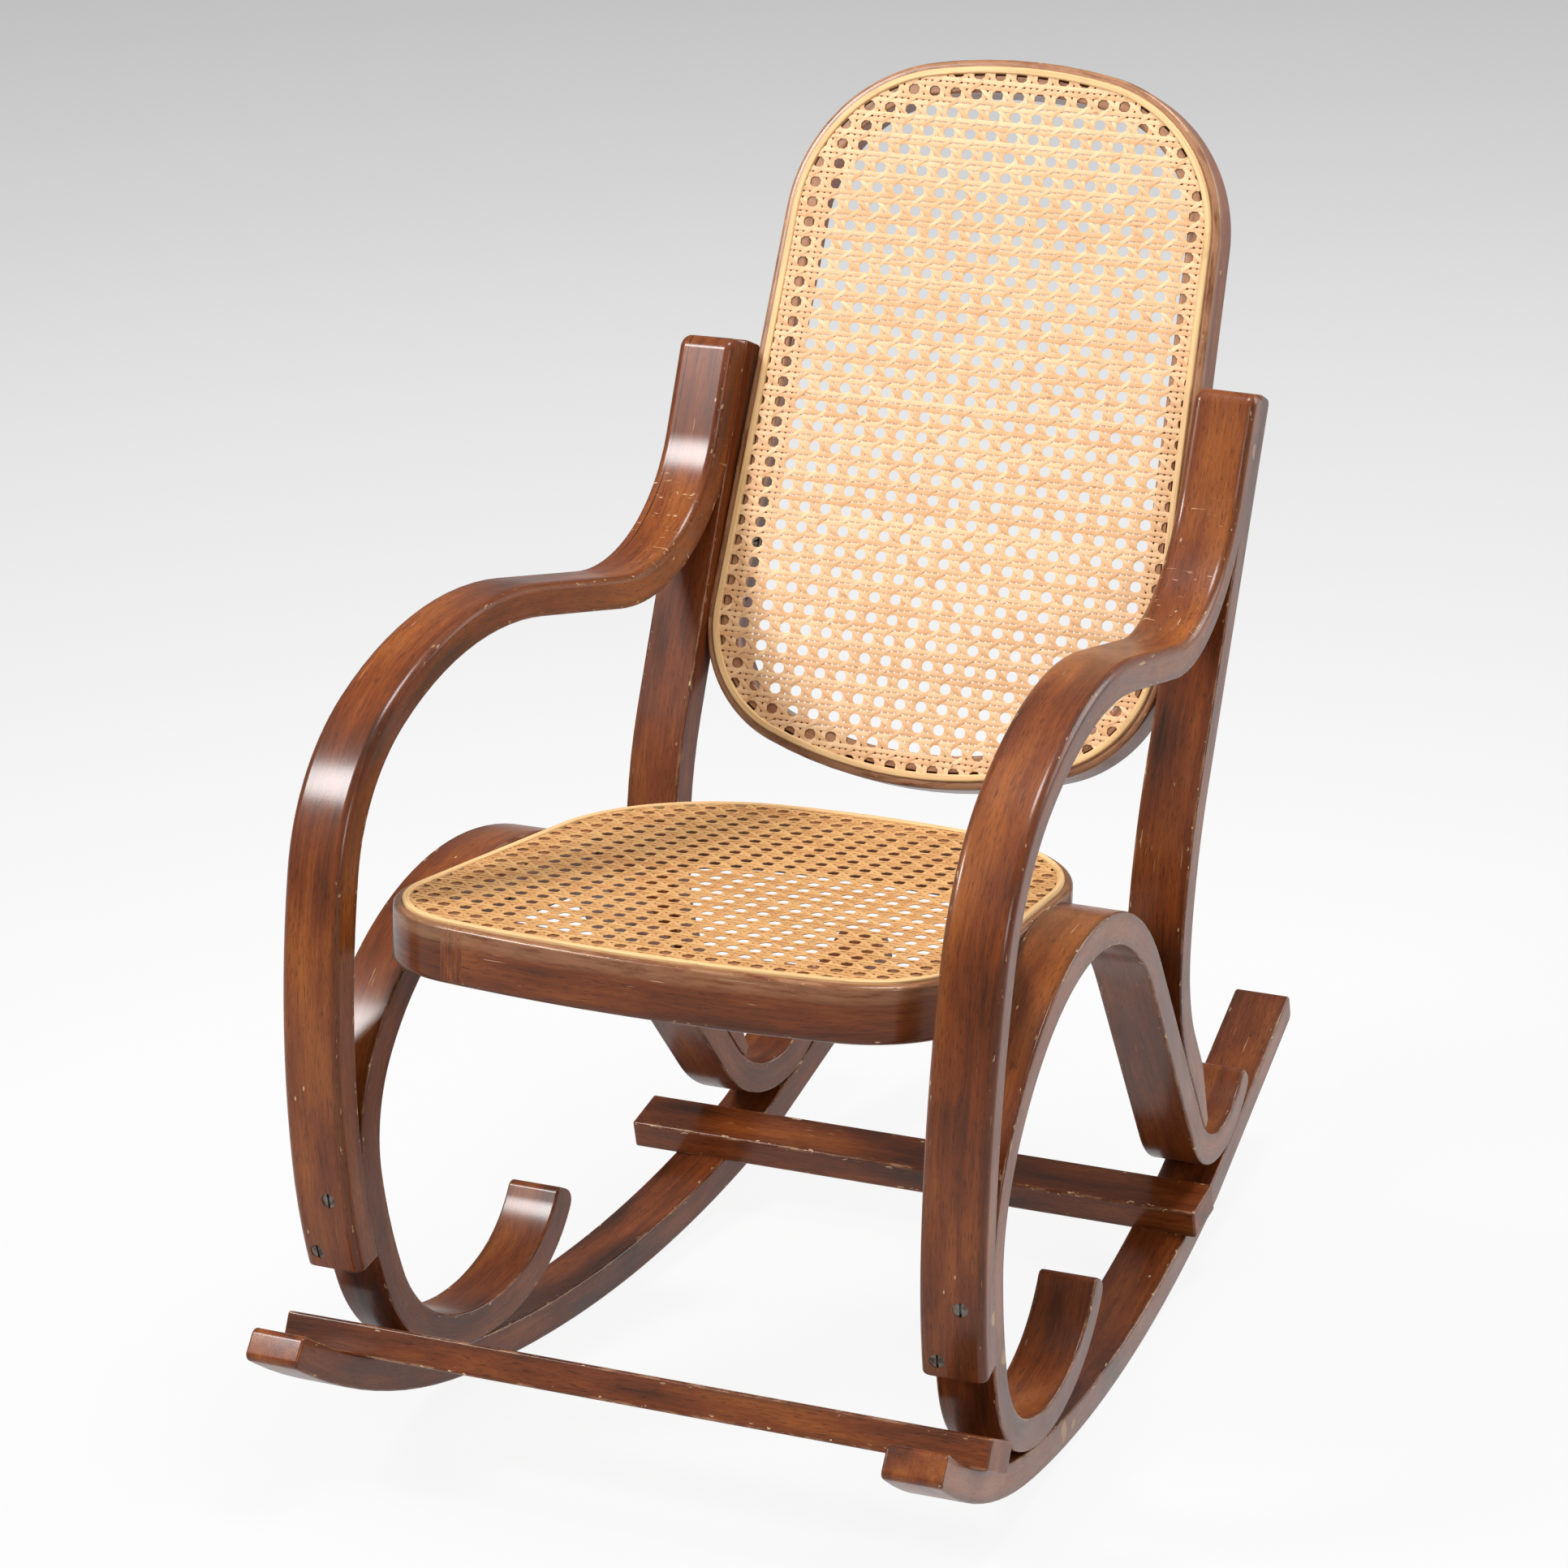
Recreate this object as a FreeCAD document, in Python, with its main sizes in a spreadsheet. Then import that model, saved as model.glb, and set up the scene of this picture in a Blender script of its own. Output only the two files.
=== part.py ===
import FreeCAD, Part
import os
from math import acos, atan2, cos, degrees, hypot, radians, sin, sqrt, tan
import Sketcher
from FreeCAD import Placement, Rotation, Vector

# Child's bentwood rocking chair. Millimetres, +Z up, front towards -Y, its left at -X.
# Each side frame (rocker, scroll, arm, post) is flat and is drawn in a side view. The two frames are
# parallel along the back posts and splay open towards the front. All is drawn with the seat almost
# level, and at the end the whole chair is leaned back to where it comes to rest on its rockers.

SIZES = [
    # bent strips
    ("strip_width", 32.5, "scroll, rocker and post, across the side frame"),
    ("strip_thick", 18.0, "scroll and post"),
    ("rocker_thick", 18.0, "rocker"),
    ("arm_width", 35.0, "arm, across the side frame"),
    ("arm_thick", 18.0, "arm"),
    ("edge_round", 1.5, "worn rounding of the strips' long edges"),
    ("arm_round", 5.0, "broad rounding of the arm's outer long edges"),
    ("end_round", 4.0, "rounded corners at the strips' ends"),
    ("hook_round", 8.0, "outer corner of each hook's tip"),
    # side frames
    ("splay", 5.3, "angle by which each side frame opens towards the front"),
    ("recline", 22.5, "posts behind vertical in the side view"),
    ("post_spacing", 307.0, "between the middles of the two posts"),
    # scroll, from the tip of its front hook
    ("hook_y", -56.7, "tip of the front hook, along Y"),
    ("hook_z", 80.2, "tip of the front hook, height"),
    ("hook_slope", 63.7, "strip's slope where it leaves the tip, downwards and forwards"),
    ("hook_radius", 78.0, "front hook"),
    ("hook_turn", 41.0, ""),
    ("trough_radius", 116.5, "front trough, which stands on the rocker"),
    ("trough_turn", 43.9, ""),
    ("heel_radius", 78.5, "from the trough up into the front leg"),
    ("heel_turn", 47.7, ""),
    ("leg_radius", 270.2, "slow bend of the front leg, which the arm follows"),
    ("leg_turn", 13.4, ""),
    ("shoulder_radius", 97.9, "from the front leg into the arch"),
    ("shoulder_turn", 42.2, ""),
    ("arch_radius", 156.5, "arch beside the seat"),
    ("arch_turn", 106.6, ""),
    ("rear_leg", 165.0, "straight rear leg"),
    ("rear_trough_radius", 64.0, "rear trough and its short hook"),
    ("rear_trough_turn", 103.9, ""),
    # post, from its foot
    ("foot_above", 30.5, "start of the post's full thickness, above the end of the straight rear leg"),
    ("foot_beyond", 12.5, "thinned foot, past the end of the straight rear leg"),
    ("foot_tip", 6.0, "thickness of the foot's tip"),
    ("foot_run", 30.7, "straight foot on the rear leg, above the taper"),
    ("post_low_radius", 100.0, "lower bend"),
    ("post_low_turn", 38.8, ""),
    ("post_high_radius", 241.3, "upper bend, into the reclined straight"),
    ("post_straight", 214.0, "reclined straight, up to the top"),
    # arm, from its foot
    ("arm_foot_turn", 5.0, "arm's foot along the front leg's bend, past the bend's start"),
    ("arm_contact_turn", 11.9, "stretch of the arm that follows the front leg's bend"),
    ("arm_rise_radius", 536.5, "slow bend above the contact"),
    ("arm_rise_turn", 16.6, ""),
    ("arm_corner_radius", 114.0, "bend into the armrest"),
    ("arm_corner_turn", 46.9, ""),
    ("armrest_radius", 208.9, "crown of the armrest"),
    ("armrest_turn", 41.7, ""),
    ("arm_dip_radius", 103.5, "bend up against the post"),
    ("arm_top_drop", 1.5, "arm's upper end below the post's"),
    ("arm_end_round", 8.0, "outer corner of the arm's upper end"),
    # rocker
    ("roll_radius", 785.0, "underside of the arc that the chair rolls on"),
    ("roll_lead", 0.5, "part of that arc ahead of the front trough's seat, in degrees"),
    ("nose_radius", 357.0, "rising front end, underside"),
    ("nose_turn", 27.7, ""),
    ("tail_bend_radius", 114.0, "underside of the bend between the rolling arc and the tail"),
    ("tail_bend_turn", 5.6, ""),
    ("tail_slope", 22.8, "straight tail above level, in the side view"),
    ("tail_length", 120.0, "tail behind the rear trough's seat"),
    ("seat_flat", 0.6, "depth of the flats planed where one piece lies on another"),
    # crossbars
    ("bar_width", 30.0, "front to back"),
    ("bar_thick", 17.0, ""),
    ("front_bar_length", 403.0, ""),
    ("rear_bar_length", 349.0, ""),
    ("rear_bar_left", 9.5, "middle of the rear bar, left of the chair's middle"),
    ("front_bar_ahead", 112.0, "middle of the front bar, ahead of the front trough's seat on the rocker"),
    ("rear_bar_behind", 290.0, "middle of the rear bar, behind the front trough's seat on the rocker"),
    # seat
    ("seat_high", 31.0, "depth of the seat hoop"),
    ("seat_ring", 30.0, "seat hoop's section across the ring"),
    ("seat_tilt", 3.0, "fall of the seat towards the back in the side view"),
    ("seat_top", 301.4, "top of the seat hoop at its front edge"),
    ("seat_front", -268.0, "front edge, along Y"),
    ("seat_deep", 316.0, "front to back"),
    ("seat_front_radius", 700.0, "crown of the front edge"),
    ("seat_front_corner", 61.0, ""),
    ("seat_rear_corner", 108.0, ""),
    ("seat_rear_radius", 443.0, "crown of the rear edge"),
    ("seat_planed", 0.8, "wood planed off the hoop's sides where the scrolls clamp it"),
    # back
    ("back_deep", 23.0, "depth of the back hoop"),
    ("back_ring", 19.0, "back hoop's section across the ring"),
    ("back_set", 4.5, "back hoop's face behind the posts' front faces"),
    ("back_low", 302.0, "lower end, along the posts' slope from the ground line"),
    ("back_long", 411.0, "end to end"),
    ("back_low_radius", 262.0, "crown of the lower end"),
    ("back_low_corner", 74.0, ""),
    ("back_taper", 1.9, "lean of each side inwards towards the top"),
    ("back_widest", 96.0, "from the lower end to where the posts clamp the sides"),
    ("back_planed", 1.3, "wood planed off the hoop's sides there"),
    ("back_top_corner", 94.0, ""),
    ("back_top_radius", 292.0, "crown of the upper end"),
    ("rim_round", 2.5, "rounding of the hoops' outer edges beside the groove"),
    ("ring_round", 3.5, "rounding of the hoops' edges away from the cane"),
    ("inner_round", 1.5, "rounding of the hoops' inner edges under the cane"),
    ("spline_round", 0.8, ""),
    # cane
    ("rim", 4.5, "wood left outside the groove"),
    ("groove_wide", 5.2, ""),
    ("groove_deep", 4.2, ""),
    ("cane_thick", 1.2, ""),
    ("spline_proud", 0.6, "top of the spline above the cane"),
    ("mesh_pitch", 18.4, "spacing of the see-through holes"),
    ("mesh_hole", 9.4, "diameter of a see-through hole"),
    ("mesh_land", 8.0, "from the middle of a hole to the wood, at least"),
    # screws
    ("screw_long", 29.0, "screws through one strip into the next"),
    ("side_screw_long", 46.0, "screws from inside a hoop, through its ring into a side frame"),
    ("screw_shank", 4.0, ""),
    ("screw_head", 8.4, ""),
    ("screw_slot", 1.2, "width and depth of the slot in the head"),
    ("head_below", 0.5, "heads below the wood around them"),
    ("arm_screw_low", 10.0, "lower foot screw, above the arm's lower end"),
    ("arm_screw_high", 42.0, "upper foot screw, above the arm's lower end"),
    ("arm_screw_right", 5.0, "upper foot screw, right of the arm's middle"),
    ("arm_screw_left", 8.0, "lower foot screw, left of the arm's middle"),
    ("post_screw_high", 14.0, "upper screw from the post into the arm, below the arm's top"),
    ("post_screw_low", 38.0, "lower screw from the post into the arm, below the arm's top"),
    ("foot_screw_low", 4.0, "lower screw from the post's foot into the rear leg, above the taper"),
    ("foot_screw_high", 24.0, "upper screw from the post's foot into the rear leg, above the taper"),
    ("pair_half", 8.0, "half the spacing of screws that sit side by side in one strip"),
    ("seat_screw_half", 44.0, "half the spacing of the two screws from the seat hoop into an arch"),
    ("back_screw_gap", 30.0, "between the two screws from the back hoop into a post"),
    ("back_screw_deep", 9.2, "those screws behind the hoop's face, where they cross a post's middle"),
]

CLOSE = 0.02

doc = FreeCAD.newDocument("rocking_chair")
sheet = doc.addObject("Spreadsheet::Sheet", "sizes")
next_row = 1


def enter(alias, value, note=""):
    """Add a row to the sheet and give back its value."""
    global next_row
    sheet.set("A%d" % next_row, alias)
    sheet.set("B%d" % next_row, repr(float(value)))
    sheet.set("C%d" % next_row, note)
    sheet.setAlias("B%d" % next_row, alias)
    next_row += 1
    return float(value)


size = {alias: enter(alias, value, note) for alias, value, note in SIZES}


def derive(alias, value):
    """A size that follows from others gets a row too, so that features can be bound to it."""
    size[alias] = enter(alias, value, "follows from the sizes above")
    return size[alias]


def left_of(heading):
    return Vector(-sin(radians(heading)), cos(radians(heading)), 0)


def along(heading):
    return Vector(cos(radians(heading)), sin(radians(heading)), 0)


class Run:
    """One arc or straight stretch of a strip's centre line, in sketch coordinates."""

    def __init__(self, start, heading, bend, radius, amount):
        self.start, self.heading, self.bend = start, heading, bend
        self.radius, self.amount = radius, amount
        self.side = {"left": 1, "right": -1, "straight": 0}[bend]
        self.exit = heading + self.side * size[amount]
        if self.side:
            self.centre = start + left_of(heading) * self.side * size[radius]
        self.end = self.at(1.0)

    def heading_at(self, share):
        return self.heading + (self.exit - self.heading) * share

    def at(self, share, offset=0.0):
        """Point at a share of the run's length and at a distance to the left of its centre line."""
        heading = self.heading_at(share)
        if self.side:
            return self.centre - left_of(heading) * (self.side * size[self.radius] - offset)
        return self.start + along(heading) * size[self.amount] * share + left_of(heading) * offset

    def curve(self, offset):
        """The face at a distance to the left of the centre line. Arcs run counter-clockwise."""
        if not self.side:
            return Part.LineSegment(self.at(0, offset), self.at(1, offset))
        circle = Part.Circle(self.centre, Vector(0, 0, 1), size[self.radius] - self.side * offset)
        turned = [radians(heading - self.side * 90) for heading in (self.heading, self.exit)]
        return Part.ArcOfCircle(circle, min(turned), max(turned))

    def vertex(self, last):
        """Number of the sketch vertex at the run's start or end."""
        return (2 if last else 1) * (self.side >= 0) + (1 if last else 2) * (self.side < 0)


def trace(start, heading, runs):
    """Tangent runs from a start point, each given as its bend, its radius and its turn or length."""
    line = []
    for bend, radius, amount in runs:
        line.append(Run(start, heading, bend, radius, amount))
        start, heading = line[-1].end, line[-1].exit
    return line


def new_sketch(body, name, plane):
    sketch = body.newObject("Sketcher::SketchObject", name)
    sketch.AttachmentSupport = [(part, "") for part in body.Origin.OriginFeatures if part.Role == plane]
    sketch.MapMode = "FlatFace"
    return sketch


def bind(sketch, kind, where, value, formula):
    """Add a dimension to a sketch and bind it to the sheet."""
    number = sketch.addConstraint(Sketcher.Constraint(kind, *where, value))
    sketch.setExpression("Constraints[%d]" % number, formula)


def draw_face(sketch, line, offset, offset_formula):
    """Draw one face of a strip, tangent from run to run, with each radius and turn bound."""
    first = sketch.GeometryCount
    for run in line:
        sketch.addGeometry(run.curve(offset), False)
    for index, run in enumerate(line):
        number = first + index
        if index + 1 < len(line):
            join = (number, run.vertex(True), number + 1, line[index + 1].vertex(False))
            sketch.addConstraint(Sketcher.Constraint("Tangent", *join))
        if run.side:
            sign = "-" if run.side * offset > 0 else "+"
            bind(sketch, "Radius", (number,), size[run.radius] - run.side * offset,
                 "sizes.%s * 1 mm %s %s" % (run.radius, sign, offset_formula))
            bind(sketch, "Angle", (number,), radians(size[run.amount]), "sizes.%s * 1 deg" % run.amount)
        else:
            bind(sketch, "Distance", (number,), size[run.amount], "sizes.%s * 1 mm" % run.amount)
    return first


def draw_end(sketch, line, left, right, last):
    """Close a strip's two faces across one end. The start's line stands square to both faces."""
    run, step = (line[-1], len(line) - 1) if last else (line[0], 0)
    faces = [sketch.getPoint(face + step, run.vertex(last)) for face in (left, right)]
    number = sketch.addGeometry(Part.LineSegment(*faces), False)
    for corner, face in ((1, left), (2, right)):
        join = (number, corner, face + step, run.vertex(last))
        sketch.addConstraint(Sketcher.Constraint("Coincident" if last else "Perpendicular", *join))
    return number


def pad(body, sketch, formula, side="Symmetric", reverse=False):
    feature = body.newObject("PartDesign::Pad", body.Name + "_pad")
    feature.Profile = sketch
    feature.SideType = side
    feature.Reversed = reverse
    feature.setExpression("Length", formula)
    sketch.Visibility = False
    doc.recompute()
    return feature


def strip(name, line, thick, width):
    """A bent strip: both faces beside its centre line, closed at the ends and padded both ways."""
    body = doc.addObject("PartDesign::Body", name)
    sketch = new_sketch(body, name + "_side_view", "YZ_Plane")
    half = size[thick] / 2
    half_formula = "sizes.%s * 0.5 mm" % thick
    left = draw_face(sketch, line, half, half_formula)
    right = draw_face(sketch, line, -half, half_formula)
    start = draw_end(sketch, line, left, right, False)
    draw_end(sketch, line, left, right, True)
    bind(sketch, "Distance", (start,), size[thick], "sizes.%s * 1 mm" % thick)
    corner = line[0].at(0, half)
    sketch.addConstraint(Sketcher.Constraint("DistanceX", -1, 1, start, 1, corner.x))
    sketch.addConstraint(Sketcher.Constraint("DistanceY", -1, 1, start, 1, corner.y))
    across = left_of(line[0].heading) * -1
    sketch.addConstraint(Sketcher.Constraint("Angle", start, atan2(across.y, across.x)))
    pad(body, sketch, "sizes.%s * 1 mm" % width)
    return body


def dress(body, alias, wanted):
    """Round those edges of a body's last feature that a test picks."""
    base = body.Tip
    names = ["Edge%d" % number for number, edge in enumerate(base.Shape.Edges, 1) if wanted(edge)]
    feature = body.newObject("PartDesign::Fillet", "%s_%s" % (body.Name, alias))
    feature.Base = (base, names)
    feature.setExpression("Radius", "sizes.%s * 1 mm" % alias)
    base.Visibility = False
    doc.recompute()


def spans(edge, *points):
    """The edge runs straight across a strip's width at one of some side-view points."""
    box = edge.BoundBox
    if box.XLength < CLOSE or box.YLength > CLOSE or box.ZLength > CLOSE:
        return False
    return any(hypot(box.YMin - point.x, box.ZMin - point.y) < CLOSE for point in points)


def is_long(edge):
    """The edge runs along a strip, in one of its side planes."""
    return edge.BoundBox.XLength < CLOSE


def middle_of(edge):
    return edge.valueAt((edge.FirstParameter + edge.LastParameter) / 2)


def on_face(point, line, offset):
    """A point in sketch coordinates is the middle of one of the runs that make up a face."""
    return any((point - run.at(0.5, offset)).Length < CLOSE for run in line)


def follow(line, distance, offset=0.0):
    """Point and heading at a distance along a strip from its start, beside its centre line."""
    for run in line:
        length = radians(size[run.amount]) * size[run.radius] if run.side else size[run.amount]
        if distance <= length or run is line[-1]:
            share = distance / length
            return run.at(share, offset), run.heading_at(share)
        distance -= length


# The scroll's centre line, from the front hook under the front leg and over the arch to the rear hook.
scroll_line = trace(
    Vector(size["hook_y"], size["hook_z"], 0), size["hook_slope"] - 180, [
        ("right", "hook_radius", "hook_turn"),
        ("right", "trough_radius", "trough_turn"),
        ("right", "heel_radius", "heel_turn"),
        ("right", "leg_radius", "leg_turn"),
        ("right", "shoulder_radius", "shoulder_turn"),
        ("right", "arch_radius", "arch_turn"),
        ("straight", "", "rear_leg"),
        ("left", "rear_trough_radius", "rear_trough_turn")])
trough, leg, arch, rear_leg, rear_trough = (scroll_line[number] for number in (1, 3, 5, 6, 7))

# The post's centre line, from the end of the foot's taper up. It lies on the rear leg's upper side.
post_heading = 90 - size["recline"]
foot_heading = rear_leg.heading - 180
while foot_heading < 0:
    foot_heading += 360
derive("post_high_turn", foot_heading - size["post_low_turn"] - post_heading)
foot_start = rear_leg.end - along(rear_leg.heading) * size["foot_above"]
post_line = trace(
    foot_start + left_of(rear_leg.heading) * size["strip_thick"], foot_heading, [
        ("straight", "", "foot_run"),
        ("right", "post_low_radius", "post_low_turn"),
        ("right", "post_high_radius", "post_high_turn"),
        ("straight", "", "post_straight")])
post_base, post_top = post_line[3].start, post_line[3].end

# The arm's centre line, from its foot on the front leg. Its last stretch lies on the post's front.
between_arm_and_strip = (size["arm_thick"] + size["strip_thick"]) / 2
derive("arm_contact_radius", size["leg_radius"] + between_arm_and_strip)
arm_heading = leg.heading - size["arm_foot_turn"]
arm_low = leg.centre + left_of(arm_heading) * size["arm_contact_radius"]
arm_bends = [
    ("right", "arm_contact_radius", "arm_contact_turn"),
    ("right", "arm_rise_radius", "arm_rise_turn"),
    ("right", "arm_corner_radius", "arm_corner_turn"),
    ("right", "armrest_radius", "armrest_turn")]
arm_crown = trace(arm_low, arm_heading, arm_bends)[-1]
derive("arm_dip_turn", post_heading - (arm_crown.exit % 360 - 360 * (arm_crown.exit % 360 > 180)))
upright = post_base + left_of(post_heading) * between_arm_and_strip
dip_end = (arm_crown.end + left_of(arm_crown.exit) * size["arm_dip_radius"]
           - left_of(post_heading) * size["arm_dip_radius"])
reach = (upright - dip_end).dot(left_of(post_heading)) / along(arm_crown.exit).dot(left_of(post_heading))
derive("armrest_straight", reach)
dip_end += along(arm_crown.exit) * reach
derive("arm_upright", (post_top - dip_end).dot(along(post_heading)) - size["arm_top_drop"])
arm_line = trace(arm_low, arm_heading, arm_bends + [
    ("straight", "", "armrest_straight"),
    ("left", "arm_dip_radius", "arm_dip_turn"),
    ("straight", "", "arm_upright")])

# The rocker carries the front trough on its rolling arc and the rear trough on its straight tail.
# Both seats are sunk by the flat, which gives the slope under the front trough and the arc's centre.
front_drop = size["roll_radius"] - size["rocker_thick"] - size["trough_radius"] - size["strip_thick"] / 2
front_drop += size["seat_flat"]
rear_drop = (size["roll_radius"] - size["tail_bend_radius"]) * cos(radians(size["tail_bend_turn"]))
rear_drop += size["tail_bend_radius"] - size["rocker_thick"] + size["seat_flat"]
rear_drop -= size["rear_trough_radius"] + size["strip_thick"] / 2
tail_down = left_of(size["tail_slope"]) * -1
level_part = rear_drop - (rear_trough.centre - trough.centre).dot(tail_down)
contact_slope = size["tail_slope"] - degrees(acos(level_part / front_drop))
roll_centre = trough.centre + left_of(contact_slope) * front_drop
rear_seat = (rear_trough.centre - roll_centre).dot(along(size["tail_slope"]))
bend_end = -(size["roll_radius"] - size["tail_bend_radius"]) * sin(radians(size["tail_bend_turn"]))

half_rocker = size["rocker_thick"] / 2
derive("nose_line", size["nose_radius"] - half_rocker)
derive("roll_line", size["roll_radius"] - half_rocker)
derive("tail_bend_line", size["tail_bend_radius"] - half_rocker)
derive("roll_turn", size["tail_slope"] - size["tail_bend_turn"] - contact_slope + size["roll_lead"])
derive("tail_straight", rear_seat - bend_end + size["tail_length"])
roll_start_slope = contact_slope - size["roll_lead"]
roll_start = roll_centre - left_of(roll_start_slope) * size["roll_line"]
nose_centre = roll_start + left_of(roll_start_slope) * size["nose_line"]
nose_slope = roll_start_slope - size["nose_turn"]
rocker_line = trace(
    nose_centre - left_of(nose_slope) * size["nose_line"], nose_slope, [
        ("left", "nose_line", "nose_turn"),
        ("left", "roll_line", "roll_turn"),
        ("left", "tail_bend_line", "tail_bend_turn"),
        ("straight", "", "tail_straight")])
nose, roll = rocker_line[:2]
nose_arc = radians(size["nose_turn"]) * size["nose_line"]
seat_on_rocker = nose_arc + radians(size["roll_lead"]) * size["roll_line"]

# Each side frame turns about the middle of its post, so that the posts stay parallel.
post_axis = Vector(0, sin(radians(size["recline"])), cos(radians(size["recline"])))
axis_point = Vector(0, post_base.x, post_base.y)


def frame_place(side):
    """Where the side view goes in the chair: side is 1 at its right and -1 at its left."""
    turn = Placement(Vector(), Rotation(post_axis, side * size["splay"]), axis_point)
    return Placement(Vector(side * size["post_spacing"] / 2, 0, 0), Rotation()).multiply(turn)


WOOD, CANE, STEEL = 690e-9, 600e-9, 7850e-9
SIDES = (("left", -1), ("right", 1))
pieces = {}
density = {}


def keep(node, thing, kilos=WOOD):
    thing.Label = node
    pieces[node] = thing
    density[node] = kilos


def cut(name, base, tool):
    result = doc.addObject("Part::Cut", name)
    result.Base = base
    result.Tool = tool
    base.Visibility = tool.Visibility = False
    doc.recompute()
    return result


def make_scroll(name):
    body = strip(name, scroll_line, "strip_thick", "strip_width")
    first, last = scroll_line[0], scroll_line[-1]
    half = size["strip_thick"] / 2
    dress(body, "hook_round", lambda edge: spans(edge, first.at(0, half), last.at(1, -half)))
    dress(body, "end_round", lambda edge: spans(edge, first.at(0, -half), last.at(1, half)))
    dress(body, "edge_round", is_long)
    return body


def make_rocker(name):
    body = strip(name, rocker_line, "rocker_thick", "strip_width")
    first, last = rocker_line[0], rocker_line[-1]
    ends = [first.at(0, side * half_rocker) for side in (1, -1)]
    ends += [last.at(1, side * half_rocker) for side in (1, -1)]
    dress(body, "end_round", lambda edge: spans(edge, *ends))
    dress(body, "edge_round", is_long)
    return body


def make_arm(name):
    """The arm's outer edges, under the hand, are rounded more than those inside its bend."""
    body = strip(name, arm_line, "arm_thick", "arm_width")
    half = size["arm_thick"] / 2

    def outside(edge):
        middle = middle_of(edge)
        return is_long(edge) and on_face(Vector(middle.y, middle.z, 0), arm_line, half)

    def inside(edge):
        middle = middle_of(edge)
        return is_long(edge) and on_face(Vector(middle.y, middle.z, 0), arm_line, -half)

    dress(body, "arm_end_round", lambda edge: spans(edge, arm_line[-1].at(1, half)))
    dress(body, "arm_round", outside)
    dress(body, "edge_round", inside)
    return body


def make_post(name):
    """The post is a strip, with a wedge below it that thins its foot along the rear leg and hook."""
    body = strip(name, post_line, "strip_thick", "strip_width")
    half = size["strip_thick"] / 2
    inner = post_line[0].at(0, half)
    outer = post_line[0].at(0, -half)
    bend_start = rear_trough.at(0, half)
    bend_radius = size["rear_trough_radius"] - half
    turn = degrees(size["foot_beyond"] / bend_radius)
    toe = rear_trough.centre - left_of(rear_trough.heading + turn) * bend_radius
    toe_outer = toe + left_of(rear_trough.heading + turn) * size["foot_tip"]
    circle = Part.Circle(rear_trough.centre, Vector(0, 0, 1), bend_radius)
    first = radians(rear_trough.heading - 90)
    sketch = new_sketch(body, name + "_foot", "YZ_Plane")
    sketch.addGeometry(Part.LineSegment(outer, inner), False)
    sketch.addGeometry(Part.LineSegment(inner, bend_start), False)
    sketch.addGeometry(Part.ArcOfCircle(circle, first, first + radians(turn)), False)
    sketch.addGeometry(Part.LineSegment(toe, toe_outer), False)
    sketch.addGeometry(Part.LineSegment(toe_outer, outer), False)
    sketch.addConstraint(Sketcher.Constraint("Tangent", 1, 2, 2, 1))
    for here, there in ((0, 1), (2, 3), (3, 4), (4, 0)):
        sketch.addConstraint(Sketcher.Constraint("Coincident", here, 2, there, 1))
    fixed = ((0, 1, outer), (1, 1, inner), (2, 3, rear_trough.centre), (4, 1, toe_outer))
    for line, vertex, point in fixed:
        sketch.addConstraint(Sketcher.Constraint("DistanceX", -1, 1, line, vertex, point.x))
        sketch.addConstraint(Sketcher.Constraint("DistanceY", -1, 1, line, vertex, point.y))
    bind(sketch, "Radius", (2,), bend_radius, "(sizes.rear_trough_radius - sizes.strip_thick / 2) * 1 mm")
    sketch.addConstraint(Sketcher.Constraint("Angle", 2, radians(turn)))
    pad(body, sketch, "sizes.strip_width * 1 mm")
    dress(body, "end_round", lambda edge: spans(edge, post_line[-1].at(1, -half)))
    dress(body, "edge_round", lambda edge: is_long(edge) and middle_of(edge).z > post_line[0].end.y)
    return body


def seat_point(distance):
    """Top of the right rocker, in the chair, at a distance along it; and its slope there."""
    point, heading = follow(rocker_line, distance, half_rocker)
    place = frame_place(1)
    top = place.multVec(Vector(0, point.x, point.y))
    run = place.Rotation.multVec(Vector(0, along(heading).x, along(heading).y))
    return top, degrees(atan2(run.z, run.y))


def make_bar(name, length, distance, left):
    """A straight bar lying flat across both rockers, its middle a little left of theirs."""
    body = doc.addObject("PartDesign::Body", name)
    sketch = new_sketch(body, name + "_section", "YZ_Plane")
    half, high = size["bar_width"] / 2, size["bar_thick"]
    outline = [Vector(-half, 0, 0), Vector(half, 0, 0), Vector(half, high, 0), Vector(-half, high, 0)]
    for number, point in enumerate(outline):
        sketch.addGeometry(Part.LineSegment(point, outline[(number + 1) % 4]), False)
    for number in range(4):
        sketch.addConstraint(Sketcher.Constraint("Coincident", number, 2, (number + 1) % 4, 1))
        flat = "Vertical" if number % 2 else "Horizontal"
        sketch.addConstraint(Sketcher.Constraint(flat, number))
    sketch.addConstraint(Sketcher.Constraint("Symmetric", 0, 1, 0, 2, -1, 1))
    bind(sketch, "Distance", (0,), size["bar_width"], "sizes.bar_width * 1 mm")
    bind(sketch, "Distance", (1,), high, "sizes.bar_thick * 1 mm")
    pad(body, sketch, "sizes.%s * 1 mm" % length)
    dress(body, "edge_round", lambda edge: True)
    top, slope = seat_point(distance)
    down = left_of(slope) * -size["seat_flat"]
    middle = Vector(-left, top.y + down.x, top.z + down.y)
    body.Placement = Placement(middle, Rotation(Vector(1, 0, 0), slope))
    return body


def frame_side(place, depth):
    """Where the right frame's inner face crosses a hoop: x at the hoop's near end, and the lean."""
    frame = place.inverse().multiply(frame_place(1))
    point = frame.multVec(Vector(-size["strip_width"] / 2, 0, 0))
    normal = frame.Rotation.multVec(Vector(1, 0, 0))
    across = point.x + (normal.y * point.y - normal.z * (depth - point.z)) / normal.x
    return across, degrees(atan2(normal.y, normal.x))


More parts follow.
